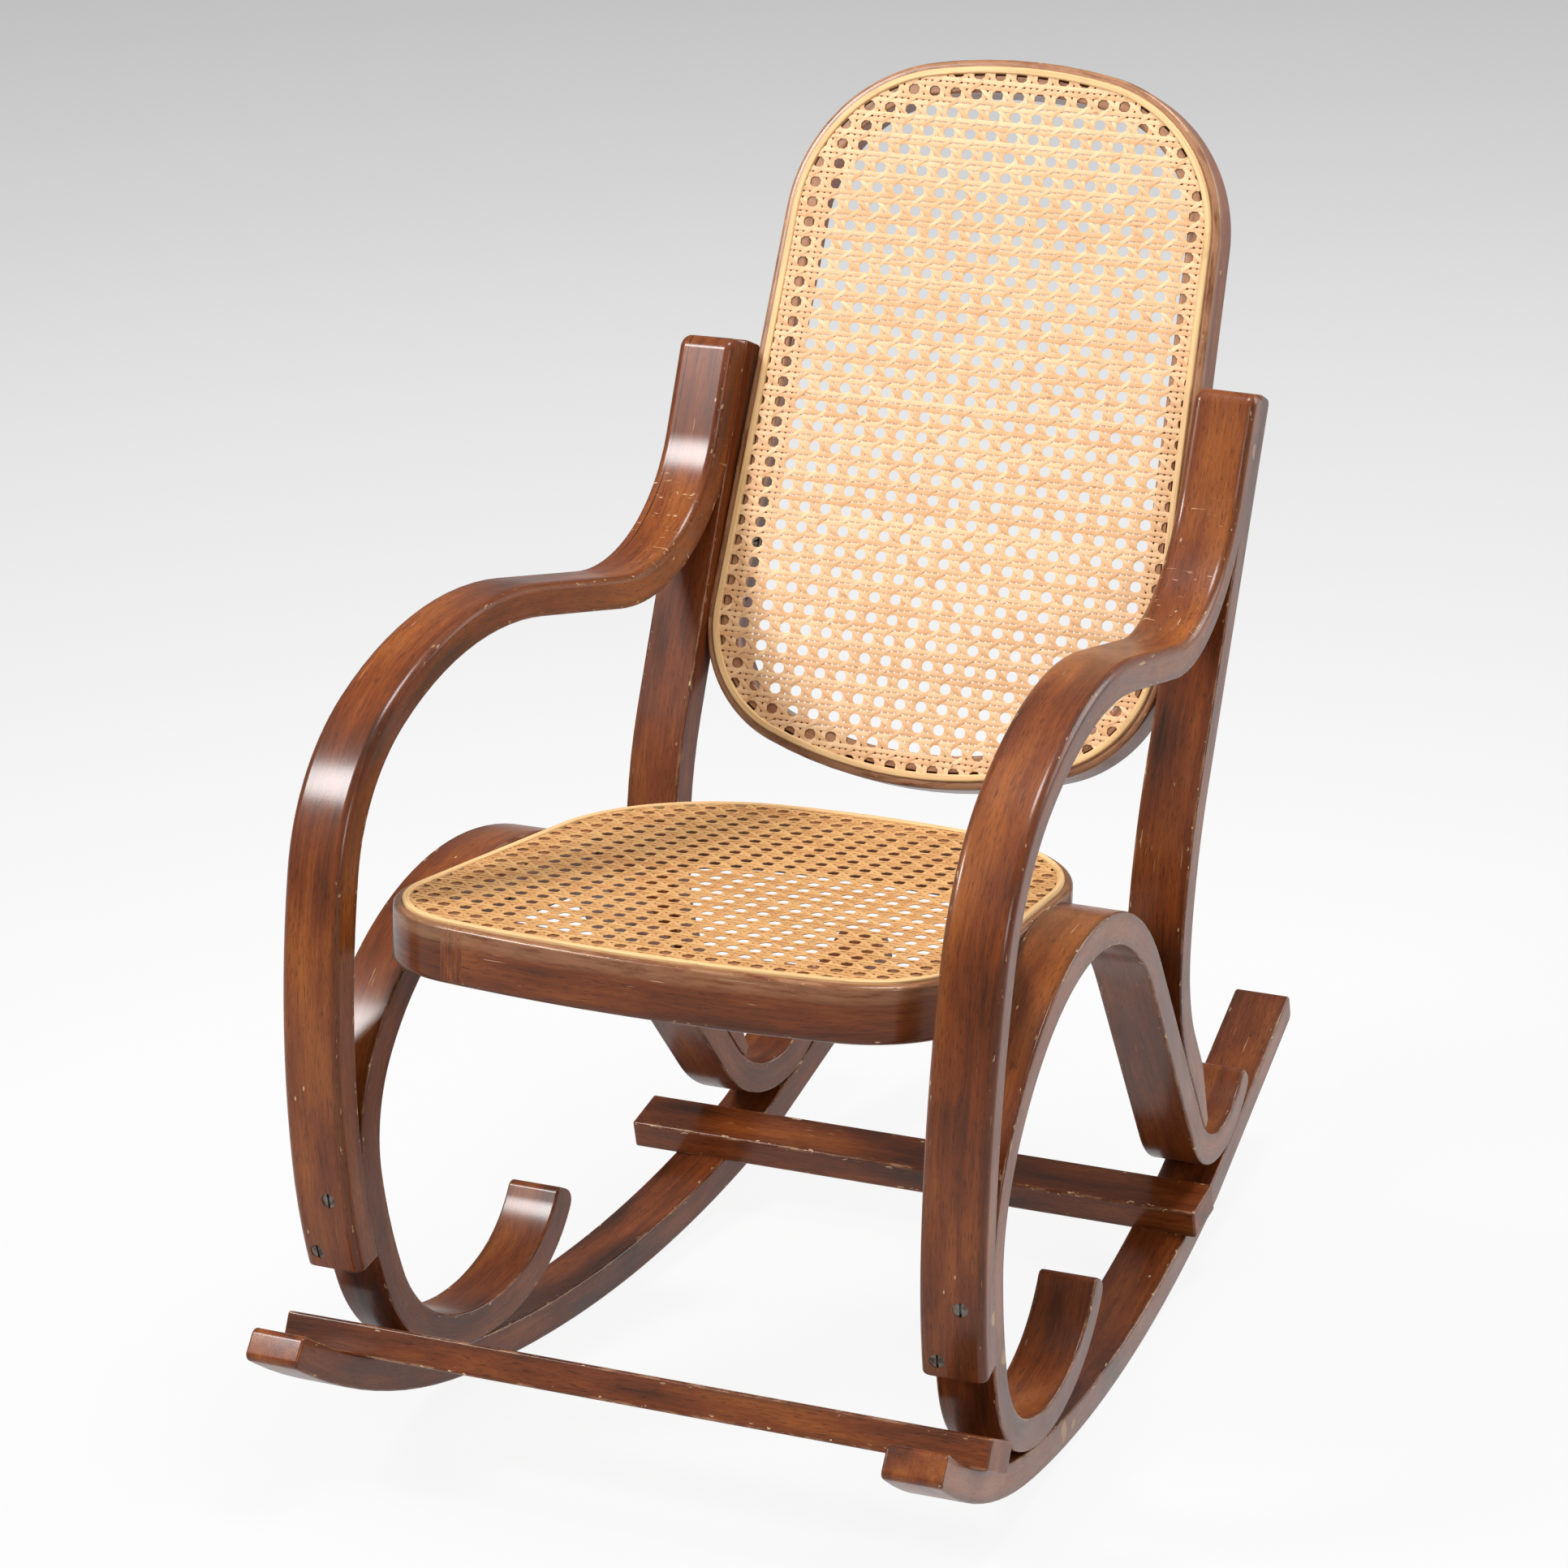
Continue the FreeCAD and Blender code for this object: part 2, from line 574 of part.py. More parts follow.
def hoop_outline(hoop, long, across, lean, near, near_corner, far_corner, far):
    """Outline of a hoop from its near end: crowned ends and straight leaning sides, with round corners."""
    inward = Vector(-cos(radians(lean)), -sin(radians(lean)), 0)
    up_side = Vector(-sin(radians(lean)), cos(radians(lean)), 0)

    def corner_centre(end_centre, end_radius, corner_radius, sign):
        base = Vector(across, 0, 0) + inward * corner_radius - end_centre
        middle = base.dot(up_side)
        gap = (end_radius - corner_radius) ** 2 - base.dot(base)
        return end_centre + base + up_side * (sign * sqrt(middle * middle + gap) - middle)

    near_centre = Vector(0, size[near], 0)
    far_centre = Vector(0, size[long] - size[far], 0)
    near_middle = corner_centre(near_centre, size[near], size[near_corner], -1)
    far_middle = corner_centre(far_centre, size[far], size[far_corner], 1)
    near_half = degrees(atan2(near_middle.x, near_centre.y - near_middle.y))
    far_half = degrees(atan2(far_middle.x, far_middle.y - far_centre.y))
    derive(hoop + "_near_turn", 2 * near_half)
    derive(hoop + "_near_corner_turn", 90 + lean - near_half)
    side_run = far_middle - near_middle + inward * (size[near_corner] - size[far_corner])
    derive(hoop + "_side", side_run.dot(up_side))
    derive(hoop + "_far_corner_turn", 90 - lean - far_half)
    derive(hoop + "_far_turn", 2 * far_half)
    return trace(near_centre - left_of(-near_half) * size[near], -near_half, [
        ("left", near, hoop + "_near_turn"),
        ("left", near_corner, hoop + "_near_corner_turn"),
        ("straight", "", hoop + "_side"),
        ("left", far_corner, hoop + "_far_corner_turn"),
        ("left", far, hoop + "_far_turn"),
        ("left", far_corner, hoop + "_far_corner_turn"),
        ("straight", "", hoop + "_side"),
        ("left", near_corner, hoop + "_near_corner_turn")])


def draw_loop(sketch, line, inset, inset_formula):
    """The hoop's outline moved inwards, closed and tangent all round, with its radii bound."""
    first = sketch.GeometryCount
    for run in line:
        sketch.addGeometry(run.curve(inset), False)
    for index, run in enumerate(line):
        number, after = first + index, first + (index + 1) % len(line)
        sketch.addConstraint(Sketcher.Constraint("Tangent", number, 2, after, 1))
        if run.side:
            bind(sketch, "Radius", (number,), size[run.radius] - inset,
                 "sizes.%s * 1 mm - %s" % (run.radius, inset_formula))
        else:
            gap = abs((run.at(0, inset)).dot(left_of(run.heading)))
            sketch.addConstraint(Sketcher.Constraint("Angle", number, radians(run.heading)))
            sketch.addConstraint(Sketcher.Constraint("Distance", -1, 1, number, gap))
    for index in (0, len(line) // 2):
        centre = (first + index, 3)
        sketch.addConstraint(Sketcher.Constraint("PointOnObject", *centre, -2))
        sketch.addConstraint(Sketcher.Constraint("DistanceY", -1, 1, *centre, line[index].centre.y))


def make_hoop(name, place, line, ring, deep):
    """A bent ring with a groove for the cane in its face. Its face is the sketch plane."""
    body = doc.addObject("PartDesign::Body", name)
    body.Placement = place
    sketch = new_sketch(body, name + "_ring", "XY_Plane")
    draw_loop(sketch, line, 0.0, "0 mm")
    draw_loop(sketch, line, size[ring], "sizes.%s * 1 mm" % ring)
    pad(body, sketch, "sizes.%s * 1 mm" % deep, "One side", True)
    sketch = new_sketch(body, name + "_groove", "XY_Plane")
    draw_loop(sketch, line, size["rim"], "sizes.rim * 1 mm")
    draw_loop(sketch, line, size["rim"] + size["groove_wide"], "(sizes.rim + sizes.groove_wide) * 1 mm")
    pocket = body.newObject("PartDesign::Pocket", name + "_groove_pocket")
    pocket.Profile = sketch
    pocket.setExpression("Length", "sizes.groove_deep * 1 mm")
    sketch.Visibility = False
    doc.recompute()

    def lies_on(edge, inset, level):
        middle = middle_of(edge)
        flat = edge.BoundBox.ZLength < CLOSE and abs(middle.z - level) < CLOSE
        return flat and on_face(Vector(middle.x, middle.y, 0), line, inset)

    under = -size[deep]
    dress(body, "rim_round", lambda edge: lies_on(edge, 0, 0))
    dress(body, "ring_round", lambda edge: lies_on(edge, 0, under) or lies_on(edge, size[ring], under))
    dress(body, "inner_round", lambda edge: lies_on(edge, size[ring], 0))
    return body


def make_cane(name, place, line, ring):
    """The woven sheet lies on the hoop's face and turns down into the groove, where the spline holds it."""
    body = doc.addObject("PartDesign::Body", name)
    body.Placement = place
    inner_wall = size["rim"] + size["groove_wide"]
    wall_formula = "(sizes.rim + sizes.groove_wide) * 1 mm"
    edge_formula = "(sizes.rim + sizes.groove_wide - sizes.cane_thick) * 1 mm"
    sketch = new_sketch(body, name + "_sheet", "XY_Plane")
    draw_loop(sketch, line, inner_wall - size["cane_thick"], edge_formula)
    opening = Part.Face(Part.Wire([run.curve(size[ring] + size["mesh_land"]).toShape() for run in line]))
    box = opening.BoundBox
    columns = int(box.XMax / size["mesh_pitch"])
    rows = int(box.YLength / size["mesh_pitch"]) + 1
    low = (box.YMin + box.YMax - (rows - 1) * size["mesh_pitch"]) / 2
    holes = 0
    for row in range(rows):
        for column in range(-columns, columns + 1):
            middle = Vector(column * size["mesh_pitch"], low + row * size["mesh_pitch"], 0)
            if opening.isInside(middle, CLOSE, True):
                sketch.addGeometry(Part.Circle(middle, Vector(0, 0, 1), size["mesh_hole"] / 2), False)
                holes += 1
    print(name, "has", holes, "see-through holes")
    pad(body, sketch, "sizes.cane_thick * 1 mm", "One side")
    sketch = new_sketch(body, name + "_skirt", "XY_Plane")
    draw_loop(sketch, line, inner_wall - size["cane_thick"], edge_formula)
    draw_loop(sketch, line, inner_wall, wall_formula)
    pad(body, sketch, "sizes.groove_deep * 1 mm", "One side", True)
    return body


def make_spline(name, place, line):
    """The strip pressed into the groove on top of the cane's edge."""
    body = doc.addObject("PartDesign::Body", name)
    body.Placement = place.multiply(Placement(Vector(0, 0, -size["groove_deep"]), Rotation()))
    sketch = new_sketch(body, name + "_ring", "XY_Plane")
    draw_loop(sketch, line, size["rim"], "sizes.rim * 1 mm")
    draw_loop(sketch, line, size["rim"] + size["groove_wide"] - size["cane_thick"],
              "(sizes.rim + sizes.groove_wide - sizes.cane_thick) * 1 mm")
    pad(body, sketch, "(sizes.groove_deep + sizes.cane_thick + sizes.spline_proud) * 1 mm", "One side")
    top = size["groove_deep"] + size["cane_thick"] + size["spline_proud"]
    dress(body, "spline_round", lambda edge: abs(edge.BoundBox.ZMin - top) < CLOSE)
    return body


screws = {}
holes = {}


def primitive(kind, name, place, sizes):
    thing = doc.addObject("Part::" + kind, name)
    for label, formula in sizes.items():
        thing.setExpression(label, formula)
    thing.Placement = place
    thing.Visibility = False
    return thing


def drive(node, through, place, long):
    """A slotted countersunk screw. Its place has the surface at the origin and the tip along +Z."""
    name = "%s_%d" % (node, len(screws.setdefault(node, [])) + 1)
    sunk = place.multiply(Placement(Vector(0, 0, size["head_below"]), Rotation()))
    taper = (size["screw_head"] - size["screw_shank"]) / 2
    tip = size["screw_shank"]
    head = primitive("Cone", name + "_head", sunk, {
        "Radius1": "sizes.screw_head * 0.5 mm",
        "Radius2": "sizes.screw_shank * 0.5 mm",
        "Height": "(sizes.screw_head - sizes.screw_shank) * 0.5 mm"})
    below_head = sunk.multiply(Placement(Vector(0, 0, taper), Rotation()))
    shank_formula = "(sizes.%s - sizes.screw_head / 2 - sizes.screw_shank / 2) * 1 mm" % long
    shank = primitive("Cylinder", name + "_shank", below_head, {
        "Radius": "sizes.screw_shank * 0.5 mm",
        "Height": shank_formula})
    at_tip = sunk.multiply(Placement(Vector(0, 0, size[long] - tip), Rotation()))
    point = primitive("Cone", name + "_point", at_tip, {
        "Radius1": "sizes.screw_shank * 0.5 mm",
        "Radius2": "sizes.screw_shank * 0.1 mm",
        "Height": "sizes.screw_shank * 1 mm"})
    solid = doc.addObject("Part::MultiFuse", name + "_solid")
    solid.Shapes = [head, shank, point]
    corner = Vector(-size["screw_slot"] / 2, -size["screw_head"], -size["screw_slot"])
    slot = primitive("Box", name + "_slot", sunk.multiply(Placement(corner, Rotation())), {
        "Length": "sizes.screw_slot * 1 mm",
        "Width": "sizes.screw_head * 2 mm",
        "Height": "sizes.screw_slot * 2 mm"})
    mouth_place = place.multiply(Placement(Vector(0, 0, -size["screw_head"]), Rotation()))
    mouth = primitive("Cylinder", name + "_mouth", mouth_place, {
        "Radius": "sizes.screw_head * 0.5 mm",
        "Height": "(sizes.screw_head + sizes.head_below) * 1 mm"})
    screws[node].append(cut(name, solid, slot))
    for piece in through:
        holes.setdefault(piece, []).append(solid)
    holes[through[0]].append(mouth)


def aim(side, across, point, heading, inwards):
    """Place of a screw in a side frame, driven to the left or right of a heading in the side view."""
    way = left_of(heading) * inwards
    turn = Rotation(Vector(0, 0, 1), Vector(0, way.x, way.y))
    return frame_place(side).multiply(Placement(Vector(across, point.x, point.y), turn))


def aim_out(side, point, inset):
    """Place of a screw driven from inside a hoop, square into a side frame, at a side-view point."""
    frame = frame_place(side)
    start = frame.multVec(Vector(-side * (size["strip_width"] / 2 + inset), point.x, point.y))
    way = frame.Rotation.multVec(Vector(side, 0, 0))
    return Placement(start, Rotation(Vector(0, 0, 1), way))


def group(node, kind, links, members):
    thing = doc.addObject("Part::" + kind, node + "_" + kind.lower())
    setattr(thing, links, members)
    for member in members:
        member.Visibility = False
    doc.recompute()
    return thing


def drilled(name, base):
    if name not in holes:
        return base
    return cut(name + "_drilled", base, group(name + "_holes", "MultiFuse", "Shapes", holes[name]))


def clamp(name, hoop):
    """Plane a hoop's sides flush with the inner faces of both side frames."""
    reach = size["back_low"] + size["back_long"]
    for side_name, side in SIDES:
        slab = doc.addObject("Part::Box", "%s_%s_plane" % (name, side_name))
        slab.setExpression("Length", "sizes.strip_width * 1 mm")
        slab.setExpression("Width", "(sizes.back_low + sizes.back_long) * 2 mm")
        slab.setExpression("Height", "(sizes.back_low + sizes.back_long) * 1 mm")
        corner = Vector(-size["strip_width"] / 2, -reach, 0)
        slab.Placement = frame_place(side).multiply(Placement(corner, Rotation()))
        hoop = cut("%s_%s_planed" % (name, side_name), hoop, slab)
    return hoop


seat_place = Placement(
    Vector(0, size["seat_front"], size["seat_top"]), Rotation(Vector(1, 0, 0), -size["seat_tilt"]))
across, lean = frame_side(seat_place, -size["seat_high"] / 2)
seat_line = hoop_outline(
    "seat", "seat_deep", across + size["seat_planed"], lean,
    "seat_front_radius", "seat_front_corner", "seat_rear_corner", "seat_rear_radius")

face_off = post_base.dot(left_of(post_heading)) + size["strip_thick"] / 2 - size["back_set"]
back_origin = along(post_heading) * size["back_low"] + left_of(post_heading) * face_off
back_place = Placement(
    Vector(0, back_origin.x, back_origin.y), Rotation(Vector(1, 0, 0), 90 - size["recline"]))
across = frame_side(back_place, -size["back_deep"] / 2)[0] + size["back_planed"]
across += size["back_widest"] * tan(radians(size["back_taper"]))
back_line = hoop_outline(
    "back", "back_long", across, size["back_taper"],
    "back_low_radius", "back_low_corner", "back_top_corner", "back_top_radius")

half_strip = size["strip_thick"] / 2
half_arm = size["arm_thick"] / 2
front_bar_at = seat_on_rocker - size["front_bar_ahead"]
rear_bar_at = seat_on_rocker + size["rear_bar_behind"]
rear_seat_at = nose_arc + radians(size["roll_turn"]) * size["roll_line"]
rear_seat_at += radians(size["tail_bend_turn"]) * size["tail_bend_line"] + rear_seat - bend_end
arch_rise = sqrt(size["arch_radius"] ** 2 - size["seat_screw_half"] ** 2)
clamp_point = along(post_heading) * (size["back_low"] + size["back_widest"])
clamp_point += left_of(post_heading) * (face_off - size["back_screw_deep"])
seat_wall = size["seat_ring"] - size["seat_planed"]
back_wall = size["back_ring"] - size["back_planed"]

for name, side in SIDES:
    arm, post, scroll, rocker = (name + "_" + piece for piece in ("arm", "post", "scroll", "rocker"))
    low_screw = (size["arm_screw_low"], -size["arm_screw_left"])
    high_screw = (size["arm_screw_high"], size["arm_screw_right"])
    for distance, sideways in (low_screw, high_screw):
        point, heading = follow(arm_line, distance, half_arm)
        drive(arm + "_foot_screws", (arm, scroll), aim(side, sideways, point, heading, -1), "screw_long")
    for drop in (size["post_screw_low"], size["post_screw_high"]):
        point = post_top - along(post_heading) * (size["arm_top_drop"] + drop)
        point -= left_of(post_heading) * half_strip
        drive(name + "_arm_top_screws", (post, arm), aim(side, 0, point, post_heading, 1), "screw_long")
    for distance in (size["foot_screw_low"], size["foot_screw_high"]):
        point, heading = follow(post_line, distance, -half_strip)
        drive(post + "_foot_screws", (post, scroll), aim(side, 0, point, heading, 1), "screw_long")
    for distance in (seat_on_rocker, rear_seat_at):
        point, heading = follow(rocker_line, distance, -half_rocker)
        for sideways in (-size["pair_half"], size["pair_half"]):
            place = aim(side, sideways, point, heading, 1)
            drive(rocker + "_screws", (rocker, scroll), place, "screw_long")
    for bar, distance in (("front_crossbar", front_bar_at), ("rear_crossbar", rear_bar_at)):
        point, heading = follow(rocker_line, distance, -half_rocker)
        drive("crossbar_screws", (rocker, bar), aim(side, 0, point, heading, 1), "screw_long")
    for sideways in (-size["seat_screw_half"], size["seat_screw_half"]):
        place = aim_out(side, arch.centre + Vector(sideways, arch_rise, 0), seat_wall)
        drive(name + "_seat_screws", ("seat_hoop", scroll), place, "side_screw_long")
    for rise in (0, size["back_screw_gap"]):
        wall = back_wall + rise * tan(radians(size["back_taper"]))
        place = aim_out(side, clamp_point + along(post_heading) * rise, wall)
        drive(name + "_back_screws", ("back_hoop", post), place, "side_screw_long")

front_bar = make_bar("front_bar_stock", "front_bar_length", front_bar_at, 0)
rear_bar = make_bar("rear_bar_stock", "rear_bar_length", rear_bar_at, size["rear_bar_left"])
keep("front_crossbar", drilled("front_crossbar", front_bar))
keep("rear_crossbar", drilled("rear_crossbar", rear_bar))

for name, side in SIDES:
    strips = [make("%s_strip" % (name + "_" + piece)) for piece, make in (
        ("rocker", make_rocker), ("scroll", make_scroll), ("arm", make_arm), ("post", make_post))]
    for body in strips:
        body.Placement = frame_place(side)
    rocker, scroll, arm, post = strips
    scroll = cut(name + "_scroll_seated", scroll, rocker)
    rocker = cut(name + "_rocker_front_flat", rocker, front_bar)
    rocker = cut(name + "_rocker_rear_flat", rocker, rear_bar)
    for piece, stock in (("rocker", rocker), ("scroll", scroll), ("arm", arm), ("post", post)):
        node = name + "_" + piece
        keep(node, drilled(node, stock))

for hoop, place, line, ring, deep in (
        ("seat", seat_place, seat_line, "seat_ring", "seat_high"),
        ("back", back_place, back_line, "back_ring", "back_deep")):
    wood = clamp(hoop + "_hoop", make_hoop(hoop + "_hoop_ring", place, line, ring, deep))
    keep(hoop + "_hoop", drilled(hoop + "_hoop", wood))
    keep(hoop + "_cane", make_cane(hoop + "_cane_panel", place, line, ring), CANE)
    keep(hoop + "_spline", make_spline(hoop + "_spline_strip", place, line), CANE)

for node, members in screws.items():
    keep(node, group(node, "Compound", "Links", members), STEEL)


def lean_to_rest():
    """Placement that leans the chair back until its weight hangs below the rolling arc's centre."""
    whole = sum(density[node] * thing.Shape.Volume for node, thing in pieces.items())
    weight = Vector()
    for node, thing in pieces.items():
        for solid in thing.Shape.Solids:
            weight += solid.CenterOfMass * (density[node] * solid.Volume / whole)
    pivot = frame_place(1).multVec(Vector(size["strip_width"] / 2, roll_centre.x, roll_centre.y))
    lean_back = degrees(atan2(weight.y - pivot.y, pivot.z - weight.z))
    print("leans back %.2f degrees, weighs %.2f kg" % (lean_back, whole))
    turned = Placement(Vector(), Rotation(Vector(1, 0, 0), -lean_back))
    shapes = Part.Compound([thing.Shape for thing in pieces.values()])
    shapes.Placement = turned
    box = shapes.optimalBoundingBox(False, False)
    middle = Vector((box.XMin + box.XMax) / 2, (box.YMin + box.YMax) / 2, box.ZMin)
    print("whole chair %.1f x %.1f x %.1f" % (box.XLength, box.YLength, box.ZLength))
    return Placement(middle * -1, Rotation()).multiply(turned)


rest = lean_to_rest()
for thing in pieces.values():
    thing.Placement = rest.multiply(thing.Placement)
doc.recompute()

for thing in doc.Objects:
    if "Invalid" in thing.State or "Error" in thing.State:
        raise RuntimeError("%s could not be made" % thing.Name)
os.makedirs("parts", exist_ok=True)
for node, thing in pieces.items():
    shape = thing.Shape
    if shape.isNull() or not shape.isValid() or not shape.Solids:
        raise RuntimeError("%s has no sound solid" % node)
    shape.exportStep("parts/%s.step" % node)
    print(node, len(shape.Solids), round(shape.Volume))
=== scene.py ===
import math
import random

import bpy
from mathutils import Matrix, Vector


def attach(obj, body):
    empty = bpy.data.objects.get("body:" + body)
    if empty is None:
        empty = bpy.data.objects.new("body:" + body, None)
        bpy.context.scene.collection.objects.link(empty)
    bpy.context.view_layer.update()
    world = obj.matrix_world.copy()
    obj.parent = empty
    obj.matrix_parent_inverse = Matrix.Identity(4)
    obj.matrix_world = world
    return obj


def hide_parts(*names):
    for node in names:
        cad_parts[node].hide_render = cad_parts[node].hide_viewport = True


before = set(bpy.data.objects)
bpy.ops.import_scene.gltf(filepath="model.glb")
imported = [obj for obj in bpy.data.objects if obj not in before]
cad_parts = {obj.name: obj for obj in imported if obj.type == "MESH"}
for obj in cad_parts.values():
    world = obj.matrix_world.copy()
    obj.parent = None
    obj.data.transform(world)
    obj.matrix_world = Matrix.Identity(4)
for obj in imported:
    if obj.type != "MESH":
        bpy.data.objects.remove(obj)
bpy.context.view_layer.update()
print("frame loaded")

mm = 0.001
random.seed(7)

# every length is in millimetres and every angle in degrees until it reaches a mesh
chair = {
    "splay": 5.3, "recline": 22.5, "postSpacing": 307.0, "postBase": (98.35, 311.77),
    "lean": 3.1536, "settle": (0.0, -3.5409, -4.0803),
    "edgeRound": 1.5, "turnStep": 3.2, "longStep": 14.0, "endStep": 10.0, "sharpFrom": 40.0,
}
# how far off a line or a face a point may lie and still count as on it, and how well a normal has to match
near = 0.05
nearFace = 0.1
sameWay = 0.99


def headingVector(heading):
    return Vector((0, math.cos(math.radians(heading)), math.sin(math.radians(heading))))


def leftVector(heading):
    return headingVector(heading + 90)


def turned(degrees, axis):
    return Matrix.Rotation(math.radians(degrees), 4, axis)


def restPlace():
    # the chair leans back on its rockers until it balances
    return Matrix.Translation(Vector(chair["settle"]) * mm) @ turned(-chair["lean"], "X")


def sidePlace(side):
    # a side frame swings out about the middle of its post
    post = headingVector(90 - chair["recline"])
    base = Vector((0, *chair["postBase"])) * mm
    across = Matrix.Translation((side * chair["postSpacing"] / 2 * mm, 0, 0))
    swung = Matrix.Translation(base) @ turned(side * chair["splay"], post) @ Matrix.Translation(-base)
    return restPlace() @ across @ swung


def laidPlace(origin, tilt, lay):
    # what is drawn in the side view's plane is laid into a plane of its own
    return restPlace() @ Matrix.Translation(Vector(origin) * mm) @ turned(tilt, "X") @ lay


def facePlace(spec):
    lay = Matrix(((0, 1, 0, 0), (0, 0, 1, 0), (1, 0, 0, 0), (0, 0, 0, 1)))
    return laidPlace(spec["origin"], spec["tilt"], lay)


def bendLength(radius, turn):
    return abs(math.radians(turn)) * radius if radius else turn


def lineLength(line):
    return sum(bendLength(radius, turn) for start, heading, radius, turn in line)


def traceBends(start, heading, bends, inset=0.0):
    # a centre line as (start, heading, radius, turn) per bend, radius 0 for a straight of that length
    line = []
    point = Vector((0, *start)) + leftVector(heading) * inset
    for radius, turn in bends:
        radius = radius - inset if radius else 0
        line.append((point, heading, radius, turn))
        if radius:
            reach = math.copysign(radius, turn)
            middle = point + leftVector(heading) * reach
            heading += turn
            point = middle - leftVector(heading) * reach
        else:
            point = point + headingVector(heading) * turn
    return line


def pointAlong(line, distance, beside=0.0):
    # point and heading at a distance along a centre line, beside its middle
    for start, heading, radius, turn in line:
        length = bendLength(radius, turn)
        if distance <= length or start == line[-1][0]:
            break
        distance -= length
    if not radius:
        return start + headingVector(heading) * distance + leftVector(heading) * beside, heading
    reach = math.copysign(radius, turn)
    middle = start + leftVector(heading) * reach
    heading += turn * distance / length
    return middle - leftVector(heading) * (reach - beside), heading


def placeOnLine(line, point, spare=6.0):
    # how far along a centre line a point lies, and how far to its left
    best = None
    before = 0.0
    for start, heading, radius, turn in line:
        length = bendLength(radius, turn)
        if radius:
            reach = math.copysign(radius, turn)
            middle = start + leftVector(heading) * reach
            out = (point - middle) * -math.copysign(1, turn)
            angle = math.degrees(math.atan2(out.z, out.y)) - heading - 90
            rounds = 360 / abs(turn)
            share = ((angle / turn + rounds / 2) % rounds - rounds / 2) * length
            beside = reach - math.copysign(Vector((out.y, out.z)).length, turn)
        else:
            share = (point - start).dot(headingVector(heading))
            beside = (point - start).dot(leftVector(heading))
        over = max(0.0, -share, share - length)
        if over <= spare and (best is None or abs(beside) + over < best[0]):
            best = (abs(beside) + over, before + share, beside)
        before += length
    return best[1:] if best else (0.0, 0.0)


def clearPick():
    bpy.ops.object.select_all(action="DESELECT")


def pickOnly(piece):
    clearPick()
    piece.select_set(True)
    bpy.context.view_layer.objects.active = piece


def openPiece(piece, mode="EDGE"):
    pickOnly(piece)
    bpy.ops.object.mode_set(mode="EDIT")
    bpy.ops.mesh.select_mode(type=mode)
    bpy.ops.mesh.select_all(action="DESELECT")


def closePiece():
    bpy.ops.object.mode_set(mode="OBJECT")


def pickEdges(piece, wanted):
    # selects the edges whose two ends both pass a test
    openPiece(piece)
    closePiece()
    good = [wanted(vertex.co / mm) for vertex in piece.data.vertices]
    for edge in piece.data.edges:
        edge.select = good[edge.vertices[0]] and good[edge.vertices[1]]
    bpy.ops.object.mode_set(mode="EDIT")


def pickFaces(piece, wanted):
    openPiece(piece, "FACE")
    closePiece()
    for face in piece.data.polygons:
        face.select = wanted(face.center / mm, face.normal)
    bpy.ops.object.mode_set(mode="EDIT")


def roundPicked(radius, segments):
    bpy.ops.mesh.bevel(offset=radius * mm, segments=segments, affect="EDGES", clamp_overlap=True)
    closePiece()


def roundSharp(piece, radius, segments=3):
    openPiece(piece)
    bpy.ops.mesh.edges_select_sharp(sharpness=math.radians(chair["sharpFrom"]))
    roundPicked(radius, segments)


def putInPlace(piece, place):
    # a finished piece keeps its place in its mesh, with its object at the origin
    pickOnly(piece)
    piece.matrix_world = place
    bpy.ops.object.transform_apply(location=True, rotation=True, scale=True)


def smoothOver(piece, angle=32):
    pickOnly(piece)
    bpy.ops.object.shade_smooth_by_angle(angle=math.radians(angle))
    weights = piece.modifiers.new("weights", "WEIGHTED_NORMAL")
    weights.keep_sharp = True
    bpy.ops.object.modifier_apply(modifier="weights")


def applyModifier(piece, kind, **settings):
    pickOnly(piece)
    modifier = piece.modifiers.new("shape", kind)
    for key, value in settings.items():
        setattr(modifier, key, value)
    bpy.ops.object.modifier_apply(modifier=modifier.name)


def joinPieces(pieces):
    pickOnly(pieces[0])
    for piece in pieces:
        piece.select_set(True)
    bpy.ops.object.join()
    return bpy.context.object


def markGrain(piece, line, place, half, seed):
    # where each point lay in the strip before it was bent: along it, across it and through it
    back = place.inverted()
    grain = piece.data.attributes.new("grain", "FLOAT_VECTOR", "POINT")
    section = piece.data.attributes.new("section", "FLOAT_VECTOR", "POINT")
    for number, vertex in enumerate(piece.data.vertices):
        spot = back @ vertex.co / mm
        share, beside = placeOnLine(line, Vector((0, spot.y, spot.z)))
        grain.data[number].vector = Vector((share, spot.x, beside)) * mm
        section.data[number].vector = (half[0] * mm, half[1] * mm, seed)


